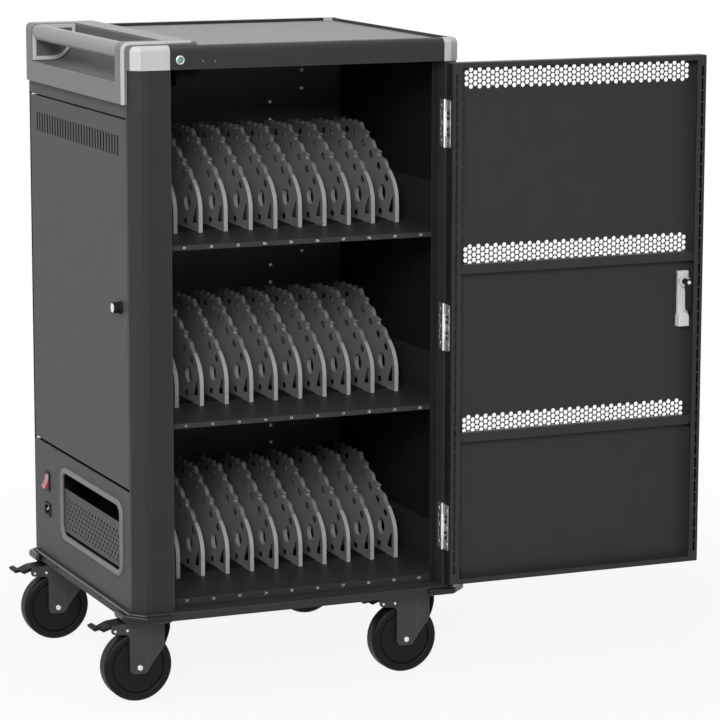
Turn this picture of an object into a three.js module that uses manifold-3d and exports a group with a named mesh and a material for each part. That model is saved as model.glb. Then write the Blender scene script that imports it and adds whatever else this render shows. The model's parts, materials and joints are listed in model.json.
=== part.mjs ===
// Laptop charging cart: a steel cabinet on four braked swivel casters.
// Millimetres, Z up. The front faces -Y, the handle and the service side face -X.
// At rest the front door stands open by half a turn, with both locks turned in.
import * as THREE from 'three';
import { mergeVertices } from 'three/addons/utils/BufferGeometryUtils.js';
import Module from 'manifold-3d';

const wasm = await Module();
wasm.setup();

// General sizes
const seat = 0.3; // gap between pieces that bear on each other
const sheet = 1.5; // steel sheet of panels, shelves and doors
const pinPlay = 0.4; // radial play of a pin in its hole
const arcSteps = 4; // facets of a quarter round

// Cabinet
const cabinetWidth = 585;
const cabinetDepth = 546;
const bodyHeight = 900; // base tray to fascia
const cornerChamfer = 18;
const postWidth = 69; // left front post, as wide as the wiring compartment
const postDepth = 24;
const postWall = 2.5;
const fluteCount = 8;
const fluteWidth = 2.4;
const fluteDepth = 1;
const fluteMargin = 4;

// Base tray and its corner bumpers
const trayHeight = 14;
const trayOverhang = 8;
const trayChamfer = 24;
const bumperThickness = 10;
const bumperArm = 68;
const bumperHeight = 12.5;

// Casters
const wheelDiameter = 120;
const wheelWidth = 32;
const wheelFacets = 32;
const wheelDiscDiameter = 86;
const wheelDiscRecess = 2;
const tyreRounding = 6;
const axleDiameter = 8;
const axleHeadDiameter = 13;
const axleHeadHeight = 4;
const casterTrail = 33;
const casterInsetX = 49.5; // swivel axis in from the cabinet side
const casterInsetY = 51;
const forkPlate = 3;
const forkSideGap = 2;
const forkHeadroom = 13; // wheel top to crown
const forkNose = 4; // where the round nose starts, ahead of the swivel axis
const legHalfWidth = 15;
const legFoot = 11; // fork below the axle
const legSteps = 6;
const armReach = 47; // brake arms behind the axle
const armDrop = 22; // lower edge of the arms below the crown's top
const slopeDrop = 46; // where the legs' sloping edge meets the nose
const noseDrop = 28; // lower edge of the nose
const crownFromPedal = 8; // crown plate ahead of the pedal's pivot
const crownThickness = 6;
const racewayHeight = 5;
const racewayDiameter = 46;
const casterPlateX = 84;
const casterPlateY = 64;
const casterPlateThickness = 2.5;
const pedalPivotBack = 21; // behind the axle
const pedalPivotDrop = 13.5; // below the crown's top
const pedalPinDiameter = 5;
const pedalThickness = 3;
const pedalSideGap = 0.6;
const pedalReach = 64; // pivot to tip
const pedalHub = 6;
// Pedal's upper line: share of its reach, height over the pivot
const pedalLine = [[0.1, 9.5], [0.45, 7], [0.69, 3.5], [0.78, 2], [0.89, 6.5], [1, 13]];

// Front door, hinged on the right
const doorThickness = 24;
const doorGap = 2; // to the post and the stops
const doorTopGap = 1;
const doorBottomGap = 5;
const doorRim = 18; // return of the two upright edges
const doorRimTop = 9; // return of the top and bottom edges
const doorRailHeight = 16;
const doorRailDepth = 15.5;
const doorRailShare = [0.279, 0.601]; // rail undersides, as shares of the body's height
const hingePostWidth = 28;
const stopFlange = 11.5;
const hingePinForward = 3; // pin axis in front of the cabinet
const hingeGap = 4; // between the closed door and the hinge post
const hingeHeight = 80;
const hingeLeafWidth = 22;
const hingeLeafThickness = 1.2;
const hingeKnuckleDiameter = 6.8;
const hingePinDiameter = 4;
const hingeMiddle = 43.4; // length of the door leaf's knuckle
const hingeMargin = 104; // end hinges' middles from the posts' ends

// Front door lock
const lockFromRail = 36; // spindle below the upper rail
const lockFromEdge = 30.5; // spindle in from the door's free edge
const lockBodyWidth = 28;
const lockOffset = 4; // body's middle beside the spindle
const lockNeckIn = 4;
const lockBodyAbove = 18;
const lockBodyBelow = 79;
const lockBodyDepth = 15;
const escutcheonMargin = 3;
const escutcheonDepth = 8;
const spindleDiameter = 10;
const camLength = 50;
const camWidth = 13;
const camTipWidth = 9;
const camThickness = 4;
const camClearance = 1.5;
const leverLength = 88;
const leverWidth = 14;
const leverThickness = 8;

// Left side: fixed lower panel, service door, fixed top rail
const lowerPanelHeight = 202.5;
const topRailDrop = 77.5; // underside of the rail below the posts' top
const railSheetDrop = 28; // top of the rail below the posts' top
const serviceGap = 3; // above and below the service door
const serviceFrontGap = 2;
const serviceRearGap = 4.5;
const servicePan = 16; // depth of the service door's folded edges
const sideFlange = 22;
const servicePinIn = 8.5; // pin axis in from the cabinet side
const servicePinBack = 15; // pin axis in from the cabinet's rear
const servicePinDiameter = 5;
const servicePinReach = 6;
const ventCount = 31;
const ventWidth = 5.6;
const ventHeight = 34;
const ventDrop = 28; // below the service door's top
const ventFront = 40; // first slot's middle behind the service door's front edge
const ventRear = 39; // last slot's middle ahead of its rear edge
const serviceLockRise = 508; // above the base tray
const serviceLockBack = 33; // behind the service door's front edge
const knobDiameter = 22;
const knobLength = 15;
const lockShank = 12;
const lockArmLength = 26;
const lockArmWidth = 12;
const lockArmThickness = 2.5;
const strikeReach = 11;
const strikeHeight = 30;

// Cable pocket in the lower panel
const pocketFront = 46; // window behind the panel's front edge
const pocketRear = 163; // window ahead of the panel's rear edge
const pocketBelow = 58; // window above the panel's lower edge
const pocketAbove = 33; // window below the panel's upper edge
const pocketCorner = 16;
const pocketBead = 10; // raised frame's width
const pocketBeadHeight = 4;
const pocketDepth = 50;
const pocketSlot = 29; // height of the open part of the window
const pocketOverlap = 4; // pocket walls outside the window

// Power entry: rocker switch above the mains inlet
const switchBack = 73; // ahead of the panel's rear edge
const switchDrop = 67; // below the panel's upper edge
const inletDrop = 51; // inlet below the switch
const entryFlange = 2;
const entryLip = 2.3;
const switchBodyHalfY = 10.7;
const switchBodyHalfZ = 14.7;
const inletHalfY = 13.2;
const inletHalfZ = 9.8;
const entryDepth = 24;
const rockerHalfY = 8.3;
const rockerHalfZ = 12;
const rockerGap = 0.5;
const rockerFace = 6.5; // crest in front of the pivot
const rockerValley = 4;
const rockerBack = 4;
const rockerTiltDeg = 8;
const rockerPinDiameter = 3;
const rockerPinReach = 1.1;
const inletCup = 15;
const inletCupHalfY = 11;
const inletCupHalfZ = 7.5;

// Top
const fasciaHeight = 39;
const fasciaDepth = 30;
const fasciaRounding = 8;
const rimWidth = 12;
const beamSpace = 8.3; // handle beam clear of the trough's wall
const plateDrop = 5; // top plate below the rim
const plateThickness = 3;
const capDepth = 15.2;
const capProud = 0.5;
const capLap = 1; // left cap stops short of the post's edge
const capChamfer = 15;
const capArmRight = 29.6;
const buttonDiameter = 10;
const buttonLength = 10;
const buttonProud = 1.5;
const buttonFromCap = 17.5;
const buttonRise = 16; // above the fascia's underside
const buttonPocket = 13;

// Handle
const handleWidth = 126.5; // from the cabinet side to its inner edge
const handleOverhang = 8;
const handleProud = 1.5; // above the rim
const skirtDrop = 55; // skirt's lower edge below the posts' top
const skirtWall = 7.5;
const troughWidth = 81;
const troughDrop = 20; // trough floor below the posts' top
const troughBend = 42; // width of the trough's curved side
const troughSteps = 6;
const handleLip = 4; // rounding of the housing's edges
const frontCheek = 38;
const rearCheek = 43;
const cheekCorner = 12;
const barHeight = 27;
const barDepth = 26;
const barRounding = 11;
const barInset = 1; // bar inside the housing's outline

// Shelves and dividers
const shelfCount = 3;
const shelfPitch = 298;
const firstShelfRise = 13; // lowest shelf above the base tray
const shelfSetback = 31; // lip behind the cabinet's front
const shelfLip = 8.5;
const shelfUpstand = 76;
const dividerCount = 10;
const dividerThickness = 6;
const dividerLength = 275;
const dividerHeight = 157;
const dividerSetback = 135; // behind the shelf's lip
const firstDivider = 66; // from the wiring wall
const lastDivider = 41; // from the right wall
const dividerStrip = 1.6; // thin strip that carries the dividers
const dividerNose = 36; // upright part of the front edge
const noseBend = 64; // height at which the nose bends back
const shoulderBack = 44;
const shoulderRise = 82;
const slopeBack = 150;
const slopeRise = 143;
const crestBack = 205;
const notchCount = 8;
const notchStart = 58;
const notchPitch = 27;
const notchDepth = 5;
const notchHalf = 3.5;

// Wiring compartment
const backSpace = 26; // inner back wall ahead of the cabinet's rear
const rearPanelIn = 24; // rear panel's pan in from the left side
const stripGap = 29; // between a strip and the control unit's end
const stripHeight = 45;
const stripDepth = 38;
const stripBack = 12; // strip's end ahead of the inner back wall
const controlLength = 100;
const controlHeight = 120;
const controlDepth = 44;
const controlFront = 14;
const controlDrop = 14;
const cableHoleLength = 90;
const cableHoleHeight = 60;
const cableHoleBack = 20;
const cableHoleRise = 110;
const latchSlotHeight = 30;
const latchSlotDepth = 14;

// Levels and planes that follow from the sizes
const left = -cabinetWidth / 2;
const right = cabinetWidth / 2;
const front = -cabinetDepth / 2;
const rear = cabinetDepth / 2;
const axleZ = (wheelDiameter / 2) * Math.cos(Math.PI / wheelFacets);
const crownTop = axleZ + wheelDiameter / 2 + forkHeadroom + crownThickness;
const trayBottom = crownTop + racewayHeight;
const baseTop = trayBottom + trayHeight;
const postTop = baseTop + bodyHeight;
const topZ = postTop + fasciaHeight;
const wallLow = baseTop + seat;
const wallHigh = postTop - seat;
const innerLeft = left + postWidth; // compartment side of the wiring wall
const innerRight = right - sheet;
const backWall = rear - backSpace;
const postBack = front + postDepth;
const rebateX = right - hingePostWidth;
const stopY = front + doorThickness + 2 * doorGap;
const railBottom = postTop - topRailDrop;
const railTop = postTop - railSheetDrop;
const panelTop = baseTop + lowerPanelHeight;
const serviceLow = panelTop + serviceGap;
const serviceHigh = railBottom - serviceGap;
const serviceFront = postBack + serviceFrontGap;
const serviceRear = rear - sheet - serviceRearGap;
const handleInner = left + handleWidth;
const handleFront = front + capDepth + seat;
const shelfFront = front + shelfSetback;

// Materials
const paint = (color, roughness, metalness) => new THREE.MeshStandardMaterial({ color, roughness, metalness });
const darkPaint = paint('#3a3b3d', 0.55, 0.2);
const sidePaint = paint('#56575a', 0.6, 0.2);
const blackPaint = paint('#17181a', 0.6, 0.2);
const topPaint = paint('#a7a7a7', 0.5, 0.1);
const greyPlastic = paint('#969797', 0.45, 0);
const palePlastic = paint('#d2d2d2', 0.4, 0);
const dividerPlastic = paint('#808284', 0.6, 0);
const blackPlastic = paint('#1a1a1b', 0.5, 0);
const rubber = paint('#1d1d1e', 0.8, 0);
const zinc = paint('#c6c8ca', 0.35, 0.9);
const redPlastic = paint('#b4323a', 0.35, 0);
const greenLens = paint('#6ea58c', 0.25, 0);

// A closed mesh as a solid that can be joined and cut
function toSolid(geometry) {
  const bare = geometry.index ? geometry.toNonIndexed() : geometry.clone();
  bare.deleteAttribute('normal');
  bare.deleteAttribute('uv');
  const merged = mergeVertices(bare, 1e-4);
  return new wasm.Manifold(
    new wasm.Mesh({
      numProp: 3,
      vertProperties: new Float32Array(merged.attributes.position.array),
      triVerts: new Uint32Array(merged.index.array),
    }),
  );
}

function toGeometry(solid) {
  const mesh = solid.getMesh();
  const geometry = new THREE.BufferGeometry();
  geometry.setAttribute('position', new THREE.BufferAttribute(new Float32Array(mesh.vertProperties), 3));
  geometry.setIndex(new THREE.BufferAttribute(new Uint32Array(mesh.triVerts), 1));
  geometry.computeVertexNormals();
  return geometry;
}

function join(first, ...others) {
  return toGeometry(others.reduce((solid, other) => solid.add(toSolid(other)), toSolid(first)));
}

function cut(first, ...others) {
  return toGeometry(others.reduce((solid, other) => solid.subtract(toSolid(other)), toSolid(first)));
}

function common(first, second) {
  return toGeometry(toSolid(first).intersect(toSolid(second)));
}

// A box between two limits on each axis
function block([x0, x1], [y0, y1], [z0, z1]) {
  const box = new THREE.BoxGeometry(x1 - x0, y1 - y0, z1 - z0);
  return box.translate((x0 + x1) / 2, (y0 + y1) / 2, (z0 + z1) / 2);
}

const span = (middle, half) => [middle - half, middle + half];
const grow = ([low, high], by) => [low - by, high + by];

function outline(points, holes = []) {
  const shape = new THREE.Shape(points.map(([u, v]) => new THREE.Vector2(u, v)));
  shape.holes = holes.map((hole) => new THREE.Path(hole.map(([u, v]) => new THREE.Vector2(u, v))));
  return shape;
}

function extrude(shape, depth) {
  return new THREE.ExtrudeGeometry(shape, { depth, bevelEnabled: false, curveSegments: 6 });
}

// An outline in X and Y, raised from z0 to z1
function prismZ(shape, z0, z1) {
  return extrude(shape, z1 - z0).translate(0, 0, z0);
}

// An outline in Y and Z, run from x0 to x1
function prismX(shape, x0, x1) {
  const turn = new THREE.Matrix4().makeBasis(
    new THREE.Vector3(0, 1, 0),
    new THREE.Vector3(0, 0, 1),
    new THREE.Vector3(1, 0, 0),
  );
  return extrude(shape, x1 - x0).applyMatrix4(turn).translate(x0, 0, 0);
}

// An outline in X and Z, run from y0 to y1
function prismY(shape, y0, y1) {
  return extrude(shape, y1 - y0).rotateX(Math.PI / 2).translate(0, y1, 0);
}

function rodX(diameter, x0, x1, y, z, sides = 16) {
  const rod = new THREE.CylinderGeometry(diameter / 2, diameter / 2, x1 - x0, sides);
  return rod.rotateZ(Math.PI / 2).translate((x0 + x1) / 2, y, z);
}

function rodY(diameter, y0, y1, x, z, sides = 16) {
  return new THREE.CylinderGeometry(diameter / 2, diameter / 2, y1 - y0, sides).translate(x, (y0 + y1) / 2, z);
}

function rodZ(diameter, z0, z1, x, y, sides = 16) {
  const rod = new THREE.CylinderGeometry(diameter / 2, diameter / 2, z1 - z0, sides);
  return rod.rotateX(Math.PI / 2).translate(x, y, (z0 + z1) / 2);
}

function rectangle(u0, u1, v0, v1) {
  return [[u0, v0], [u1, v0], [u1, v1], [u0, v1]];
}

function roundedRectangle(u0, u1, v0, v1, radius, steps = arcSteps) {
  const centres = [
    [u1 - radius, v1 - radius],
    [u0 + radius, v1 - radius],
    [u0 + radius, v0 + radius],
    [u1 - radius, v0 + radius],
  ];
  return centres.flatMap(([u, v], corner) =>
    Array.from({ length: steps + 1 }, (_, i) => {
      const angle = (corner + i / steps) * (Math.PI / 2);
      return [u + radius * Math.cos(angle), v + radius * Math.sin(angle)];
    }),
  );
}

// A hole wide enough for a pin's flat-sided outline to turn in
function holeFor(diameter, sides = 16) {
  return (diameter + 2 * pinPlay) / Math.cos(Math.PI / sides);
}

const cart = new THREE.Group();

function add(parent, name, geometry, material) {
  const mesh = new THREE.Mesh(geometry, material);
  mesh.name = name;
  parent.add(mesh);
  return mesh;
}

// Base tray: a folded pan with its edge turned down
function chamferedRectangle(halfX, halfY, chamfer) {
  return [
    [halfX, halfY - chamfer],
    [halfX - chamfer, halfY],
    [chamfer - halfX, halfY],
    [-halfX, halfY - chamfer],
    [-halfX, chamfer - halfY],
    [chamfer - halfX, -halfY],
    [halfX - chamfer, -halfY],
    [halfX, chamfer - halfY],
  ];
}

const trayHalfX = right + trayOverhang;
const trayHalfY = rear + trayOverhang;
const trayInner = outline(
  chamferedRectangle(trayHalfX - sheet, trayHalfY - sheet, trayChamfer - sheet * (2 - Math.SQRT2)),
);
const tray = cut(
  prismZ(outline(chamferedRectangle(trayHalfX, trayHalfY, trayChamfer)), trayBottom, baseTop),
  prismZ(trayInner, trayBottom - sheet, baseTop - sheet),
);
add(cart, 'base_tray', tray, darkPaint);

// Corner bumpers that wrap the tray's edge
function bumper(signX, signY) {
  const slope = Math.SQRT2 - 1;
  const inX = trayHalfX + seat;
  const inY = trayHalfY + seat;
  const inChamfer = trayChamfer + seat * slope;
  const outX = inX + bumperThickness;
  const outY = inY + bumperThickness;
  const outChamfer = inChamfer + bumperThickness * (2 - Math.SQRT2);
  const points = [
    [inX, inY - bumperArm],
    [inX, inY - inChamfer],
    [inX - inChamfer, inY],
    [inX - bumperArm, inY],
    [inX - bumperArm, outY],
    [outX - outChamfer, outY],
    [outX, outY - outChamfer],
    [outX, inY - bumperArm],
  ];
  const low = baseTop - sheet - bumperHeight;
  return prismZ(outline(points.map(([x, y]) => [signX * x, signY * y])), low, low + bumperHeight);
}

for (const [frontName, signY] of [['front', -1], ['rear', 1]]) {
  for (const [sideName, signX] of [['left', -1], ['right', 1]]) {
    add(cart, `bumper_${frontName}_${sideName}`, bumper(signX, signY), blackPlastic);
  }
}

// Left front post: a folded tube with a chamfered corner and a fluted face
const fluteStart = left + cornerChamfer + fluteMargin;
const flutePitch = (postWidth - cornerChamfer - 2 * fluteMargin) / (fluteCount - 1);
const flutes = Array.from({ length: fluteCount }, (_, i) => fluteStart + i * flutePitch).flatMap((x) => [
  [x - fluteWidth / 2, front],
  [x, front + fluteDepth],
  [x + fluteWidth / 2, front],
]);
const postOutline = [
  [left, front + cornerChamfer],
  [left + cornerChamfer, front],
  ...flutes,
  [innerLeft, front],
  [innerLeft, postBack],
  [left, postBack],
];
const postBore = [
  [left + postWall, front + cornerChamfer + postWall * (Math.SQRT2 - 1)],
  [left + cornerChamfer + postWall * (Math.SQRT2 - 1), front + postWall],
  [innerLeft - postWall, front + postWall],
  [innerLeft - postWall, postBack - postWall],
  [left + postWall, postBack - postWall],
];
const strikeX = left + servicePan + seat;
const serviceLockZ = baseTop + serviceLockRise;
const strike = block(
  [strikeX, strikeX + sheet],
  [postBack - postWall / 2, postBack + strikeReach],
  [serviceLockZ - strikeHeight / 2, serviceLockZ + strikeHeight / 2],
);
const frontPost = join(prismZ(outline(postOutline, [postBore]), wallLow, wallHigh), strike);
add(cart, 'front_left_post', frontPost, darkPaint);

// Hinge post: a narrow folded tube with a rebate and a door stop
const stopBack = stopY + sheet;
const hingePostOutline = [
  [rebateX, front],
  [right - cornerChamfer, front],
  [right, front + cornerChamfer],
  [right, stopBack],
  [rebateX - stopFlange, stopBack],
  [rebateX - stopFlange, stopY],
  [rebateX, stopY],
];
const hingePostBore = [
  [rebateX + sheet, front + sheet],
  [right - cornerChamfer - sheet * (Math.SQRT2 - 1), front + sheet],
  [right - sheet, front + cornerChamfer + sheet * (Math.SQRT2 - 1)],
  [right - sheet, stopBack - sheet],
  [rebateX + sheet, stopBack - sheet],
];
add(cart, 'hinge_post', prismZ(outline(hingePostOutline, [hingePostBore]), wallLow, wallHigh), darkPaint);

// Right side panel and the rear panel's pan
const panelFront = stopBack + seat;
add(cart, 'right_side_panel', block([innerRight, right], [panelFront, rear], [wallLow, wallHigh]), sidePaint);

const rearLeft = left + rearPanelIn;
const rearRight = innerRight - seat;
const panFront = backWall + sheet + seat;
const rearPan = cut(
  block([rearLeft, rearRight], [panFront, rear], [wallLow, wallHigh]),
  block(
    [rearLeft + sheet, rearRight - sheet],
    [panFront - sheet, rear - sheet],
    [wallLow + sheet, wallHigh - sheet],
  ),
);
const rearWing = block([left, rearLeft + sheet], [rear - sheet, rear], [wallLow, wallHigh]);
add(cart, 'rear_panel', join(rearPan, rearWing), sidePaint);
add(
  cart,
  'inner_back_wall',
  block([innerLeft + seat, rearRight], [backWall, backWall + sheet], [wallLow, wallHigh]),
  blackPaint,
);

// Wiring wall, with the lock's slot and a cable hole over each shelf
const wiringTop = railTop - sheet - seat;
const railUnder = doorRailShare.map((share) => baseTop + share * bodyHeight);
const lockZ = railUnder[1] - lockFromRail;
const shelfTop = (level) => baseTop + firstShelfRise + level * shelfPitch;
const levels = Array.from({ length: shelfCount }, (_, level) => level);
const wallFront = postBack + seat;
const wallRear = backWall - seat;
const wallThrough = [innerLeft - 2 * sheet, innerLeft + sheet];
const cableHoles = levels.map((level) => {
  const low = shelfTop(level) + cableHoleRise;
  const back = wallRear - cableHoleBack;
  return block(wallThrough, [back - cableHoleLength, back], [low, low + cableHoleHeight]);
});
const latchSlot = block(
  wallThrough,
  [wallFront - sheet, wallFront + latchSlotDepth],
  span(lockZ, latchSlotHeight / 2),
);
const wiringWall = cut(
  block([innerLeft - sheet, innerLeft], [wallFront, wallRear], [wallLow, wiringTop]),
  latchSlot,
  ...cableHoles,
);
add(cart, 'inner_left_wall', wiringWall, blackPaint);

// Lower left panel, with a raised frame round the cable pocket's window
const panelRear = rear - sheet - seat;
const sidePanelFront = postBack + seat;
const window = {
  front: sidePanelFront + pocketFront,
  rear: panelRear - pocketRear,
  low: wallLow + pocketBelow,
  high: panelTop - pocketAbove,
};
const switchY = panelRear - switchBack;
const switchZ = panelTop - switchDrop;
const inletZ = switchZ - inletDrop;
const pinX = left + servicePinIn;
const pinY = rear - servicePinBack;
const windowOutline = (grow) =>
  roundedRectangle(
    window.front - grow,
    window.rear + grow,
    window.low - grow,
    window.high + grow,
    pocketCorner + grow,
  );
const panelHoles = [
  windowOutline(0),
  rectangle(
    switchY - switchBodyHalfY - seat,
    switchY + switchBodyHalfY + seat,
    switchZ - switchBodyHalfZ - seat,
    switchZ + switchBodyHalfZ + seat,
  ),
  rectangle(
    switchY - inletHalfY - seat,
    switchY + inletHalfY + seat,
    inletZ - inletHalfZ - seat,
    inletZ + inletHalfZ + seat,
  ),
];
const lowerPanel = cut(
  join(
    prismX(
      outline(rectangle(sidePanelFront, panelRear, wallLow, panelTop), panelHoles),
      left,
      left + sheet,
    ),
    prismX(outline(windowOutline(pocketBead), [windowOutline(0)]), left - pocketBeadHeight, left + sheet / 2),
    block([left, left + sideFlange], [sidePanelFront, panelRear], [panelTop - sheet, panelTop]),
  ),
  rodZ(holeFor(servicePinDiameter), panelTop - 2 * sheet, panelTop + sheet, pinX, pinY),
);
add(cart, 'left_lower_panel', lowerPanel, sidePaint);

// Cable pocket: a shallow box behind the window, open along a slot at its top
const pocketX = left + sheet + seat;
const pocketSpan = [window.front - pocketOverlap, window.rear + pocketOverlap];
const pocketRise = [window.low - pocketOverlap, window.high + pocketOverlap];
const pocket = cut(
  block([pocketX, pocketX + pocketDepth], pocketSpan, pocketRise),
  block(
    [pocketX + sheet, pocketX + pocketDepth - sheet],
    [pocketSpan[0] + sheet, pocketSpan[1] - sheet],
    [pocketRise[0] + sheet, pocketRise[1] - sheet],
  ),
  block(
    [pocketX - sheet, pocketX + 2 * sheet],
    [pocketSpan[0] + sheet, pocketSpan[1] - sheet],
    [window.high - pocketSlot, pocketRise[1] - sheet],
  ),
);
add(cart, 'cable_pocket', pocket, sidePaint);

// Power entry: one block behind the panel that holds the switch's frame and the inlet
const entryIn = left + sheet + seat;
const entryOut = left - seat;
const pivotX = entryOut + rockerFace - entryFlange;
const rockerTilt = THREE.MathUtils.degToRad(rockerTiltDeg);
const cavityHalfZ = rockerHalfZ + rockerFace * Math.sin(rockerTilt) + rockerGap;
const cavityHalfY = rockerHalfY + rockerGap;
const cavityBack = pivotX + rockerBack + rockerHalfZ * Math.sin(rockerTilt) + rockerGap;
const entryThrough = [entryOut - seat, entryIn + sheet];
const entryFace = [entryOut - entryFlange, entryOut];
const pinHalf = cavityHalfY + rockerPinReach;
const entry = cut(
  join(
    block(
      [entryIn, entryIn + entryDepth],
      span(switchY, inletHalfY + entryLip),
      [inletZ - inletHalfZ - entryLip, switchZ + switchBodyHalfZ + entryLip],
    ),
    block(entryThrough, span(switchY, switchBodyHalfY), span(switchZ, switchBodyHalfZ)),
    block(entryFace, span(switchY, switchBodyHalfY + entryLip), span(switchZ, switchBodyHalfZ + entryLip)),
    block(entryThrough, span(switchY, inletHalfY), span(inletZ, inletHalfZ)),
    block(entryFace, span(switchY, inletHalfY + entryLip), span(inletZ, inletHalfZ + entryLip)),
  ),
  block([entryOut - 2 * entryFlange, cavityBack], span(switchY, cavityHalfY), span(switchZ, cavityHalfZ)),
  rodY(holeFor(rockerPinDiameter), switchY - pinHalf, switchY + pinHalf, pivotX, switchZ),
  block(
    [entryOut - 2 * entryFlange, entryOut - entryFlange + inletCup],
    span(switchY, inletCupHalfY),
    span(inletZ, inletCupHalfZ),
  ),
);
add(cart, 'power_entry', entry, blackPlastic);

// Rocker: two sloping faces on a cross pin, resting with its lower half out
const rockerOutline = [
  [rockerBack, -rockerHalfZ],
  [rockerBack, rockerHalfZ],
  [-rockerFace, rockerHalfZ],
  [-rockerValley, 0],
  [-rockerFace, -rockerHalfZ],
];
const rocker = add(
  cart,
  'rocker_switch',
  join(
    prismY(outline(rockerOutline), -rockerHalfY, rockerHalfY),
    rodY(rockerPinDiameter, seat - pinHalf, pinHalf - seat, 0, 0),
  ),
  redPlastic,
);
rocker.position.set(pivotX, switchY, switchZ);
rocker.rotation.y = rockerTilt;

// Service door: a folded pan with vent slots, on a pin above and a pin below
const serviceX = left + servicePan;
const lockY = serviceFront + serviceLockBack;
const ventTop = serviceHigh - ventDrop;
const ventPitch = (serviceRear - serviceFront - ventFront - ventRear) / (ventCount - 1);
const vents = Array.from({ length: ventCount }, (_, i) => {
  const middle = serviceFront + ventFront + i * ventPitch;
  return block([left - sheet, left + 2 * sheet], span(middle, ventWidth / 2), [ventTop - ventHeight, ventTop]);
});
const servicePin = (low, high) => rodZ(servicePinDiameter, low, high, pinX, pinY);
const serviceDoor = cut(
  join(
    block([left, left + sheet], [serviceFront, serviceRear], [serviceLow, serviceHigh]),
    block([left, serviceX], [serviceFront, serviceFront + sheet], [serviceLow, serviceHigh]),
    block([left, serviceX], [serviceRear - sheet, serviceRear], [serviceLow, serviceHigh]),
    block([left, serviceX], [serviceFront, serviceRear], [serviceLow, serviceLow + sheet]),
    block([left, serviceX], [serviceFront, serviceRear], [serviceHigh - sheet, serviceHigh]),
    servicePin(serviceLow - servicePinReach, serviceLow + sheet),
    servicePin(serviceHigh - sheet, serviceHigh + servicePinReach),
  ),
  ...vents,
  rodX(holeFor(lockShank), left - sheet, left + 2 * sheet, lockY, serviceLockZ),
);
add(cart, 'service_door', serviceDoor, sidePaint);

// Service lock: knob, shank and an arm that hangs down until it is turned behind the strike
const armX = strikeX + sheet + seat;
const serviceLock = join(
  rodX(knobDiameter, left - seat - knobLength, left - seat, lockY, serviceLockZ, 20),
  rodX(lockShank, left - sheet, armX + lockArmThickness, lockY, serviceLockZ),
  block(
    [armX, armX + lockArmThickness],
    span(lockY, lockArmWidth / 2),
    [serviceLockZ - lockArmLength, serviceLockZ + lockArmWidth / 2],
  ),
);
add(cart, 'service_lock', serviceLock, blackPlastic);

// Top frame: fascia, right and rear beams with a raised rim, and the rail over the service door
const frameLow = postTop + seat;
const ledge = topZ - plateDrop - plateThickness - seat;
const fasciaLeft = innerLeft - capLap;
const fasciaRight = right - capArmRight;
const handleEdge = handleInner + seat;
const beamLeft = left + troughWidth + beamSpace;
const roundedFascia = (depth) => [
  [front + depth, frameLow],
  [front + depth, topZ],
  ...Array.from({ length: arcSteps + 1 }, (_, i) => {
    const angle = Math.PI / 2 + (i / arcSteps) * (Math.PI / 2);
    return [
      front + fasciaRounding + fasciaRounding * Math.cos(angle),
      topZ - fasciaRounding + fasciaRounding * Math.sin(angle),
    ];
  }),
  [front, frameLow],
];
const rearBeamFront = rear - fasciaDepth;
const rearCheekBack = rear - sheet - seat;
const buttonX = fasciaLeft + buttonFromCap;
const buttonZ = postTop + buttonRise;
const beamRear = backWall - seat;
const betweenCaps = [front + capDepth + seat, rear - capDepth - seat];
const topFrame = cut(
  join(
    prismX(outline(roundedFascia(capDepth)), fasciaLeft + seat, fasciaRight - seat),
    block([handleEdge, fasciaRight - seat], [front + capDepth / 2, front + fasciaDepth], [frameLow, ledge]),
    block([fasciaRight - fasciaDepth, right], betweenCaps, [frameLow, ledge]),
    block([right - rimWidth, right], betweenCaps, [frameLow, topZ]),
    block([handleEdge, fasciaRight - seat], [rearBeamFront, rear], [frameLow, ledge]),
    block([left, fasciaRight - seat], [rear - sheet, rear], [frameLow, topZ]),
    block([handleEdge, fasciaRight - seat], [rear - capDepth, rear], [frameLow, topZ]),
    block([beamLeft, handleEdge + sheet], [handleFront, rearBeamFront + sheet], [frameLow, ledge]),
    block([beamLeft, handleEdge + sheet], [stopBack, beamRear], [railTop - sheet, frameLow + sheet]),
    block([left, beamLeft + sheet], [sidePanelFront, beamRear], [railTop - sheet, railTop]),
    block([left, left + sheet], [sidePanelFront, panelRear], [railBottom, railTop]),
    block([left, left + sideFlange], [sidePanelFront, panelRear], [railBottom, railBottom + sheet]),
  ),
  rodZ(holeFor(servicePinDiameter), railBottom - sheet, railBottom + 2 * sheet, pinX, pinY),
  rodY(holeFor(buttonDiameter, 20), front - sheet, front + buttonPocket, buttonX, buttonZ, 20),
);
add(cart, 'top_frame', topFrame, darkPaint);

// Top plate, let into the frame
add(
  cart,
  'top_plate',
  block(
    [handleEdge + seat, right - rimWidth - seat],
    betweenCaps,
    [ledge + seat, ledge + seat + plateThickness],
  ),
  topPaint,
);

// Corner caps
const capFront = front - capProud;
const capLeft = left - capProud;
const capRight = right + capProud;
const leftCapPoints = [
  [capLeft, front + capChamfer],
  [left + cornerChamfer, capFront],
  [fasciaLeft, capFront],
  [fasciaLeft, front + capDepth],
  [capLeft, front + capDepth],
];
add(cart, 'cap_front_left', prismZ(outline(leftCapPoints), frameLow, topZ + capProud), palePlastic);

function rightCap(sign) {
  const side = [
    [fasciaRight, sign * capFront],
    [right - cornerChamfer, sign * capFront],
    [capRight, sign * (front + capChamfer)],
    [capRight, sign * (front + capDepth)],
    [fasciaRight, sign * (front + capDepth)],
  ];
  return prismZ(outline(side), frameLow, topZ + capProud);
}

add(cart, 'cap_front_right', rightCap(1), palePlastic);
add(cart, 'cap_rear_right', rightCap(-1), palePlastic);

// Power button in the fascia
const buttonFace = front - buttonProud;
const button = rodY(buttonDiameter, buttonFace, buttonFace + buttonLength, buttonX, buttonZ, 20);
add(cart, 'power_button', button, greenLens);

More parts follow.
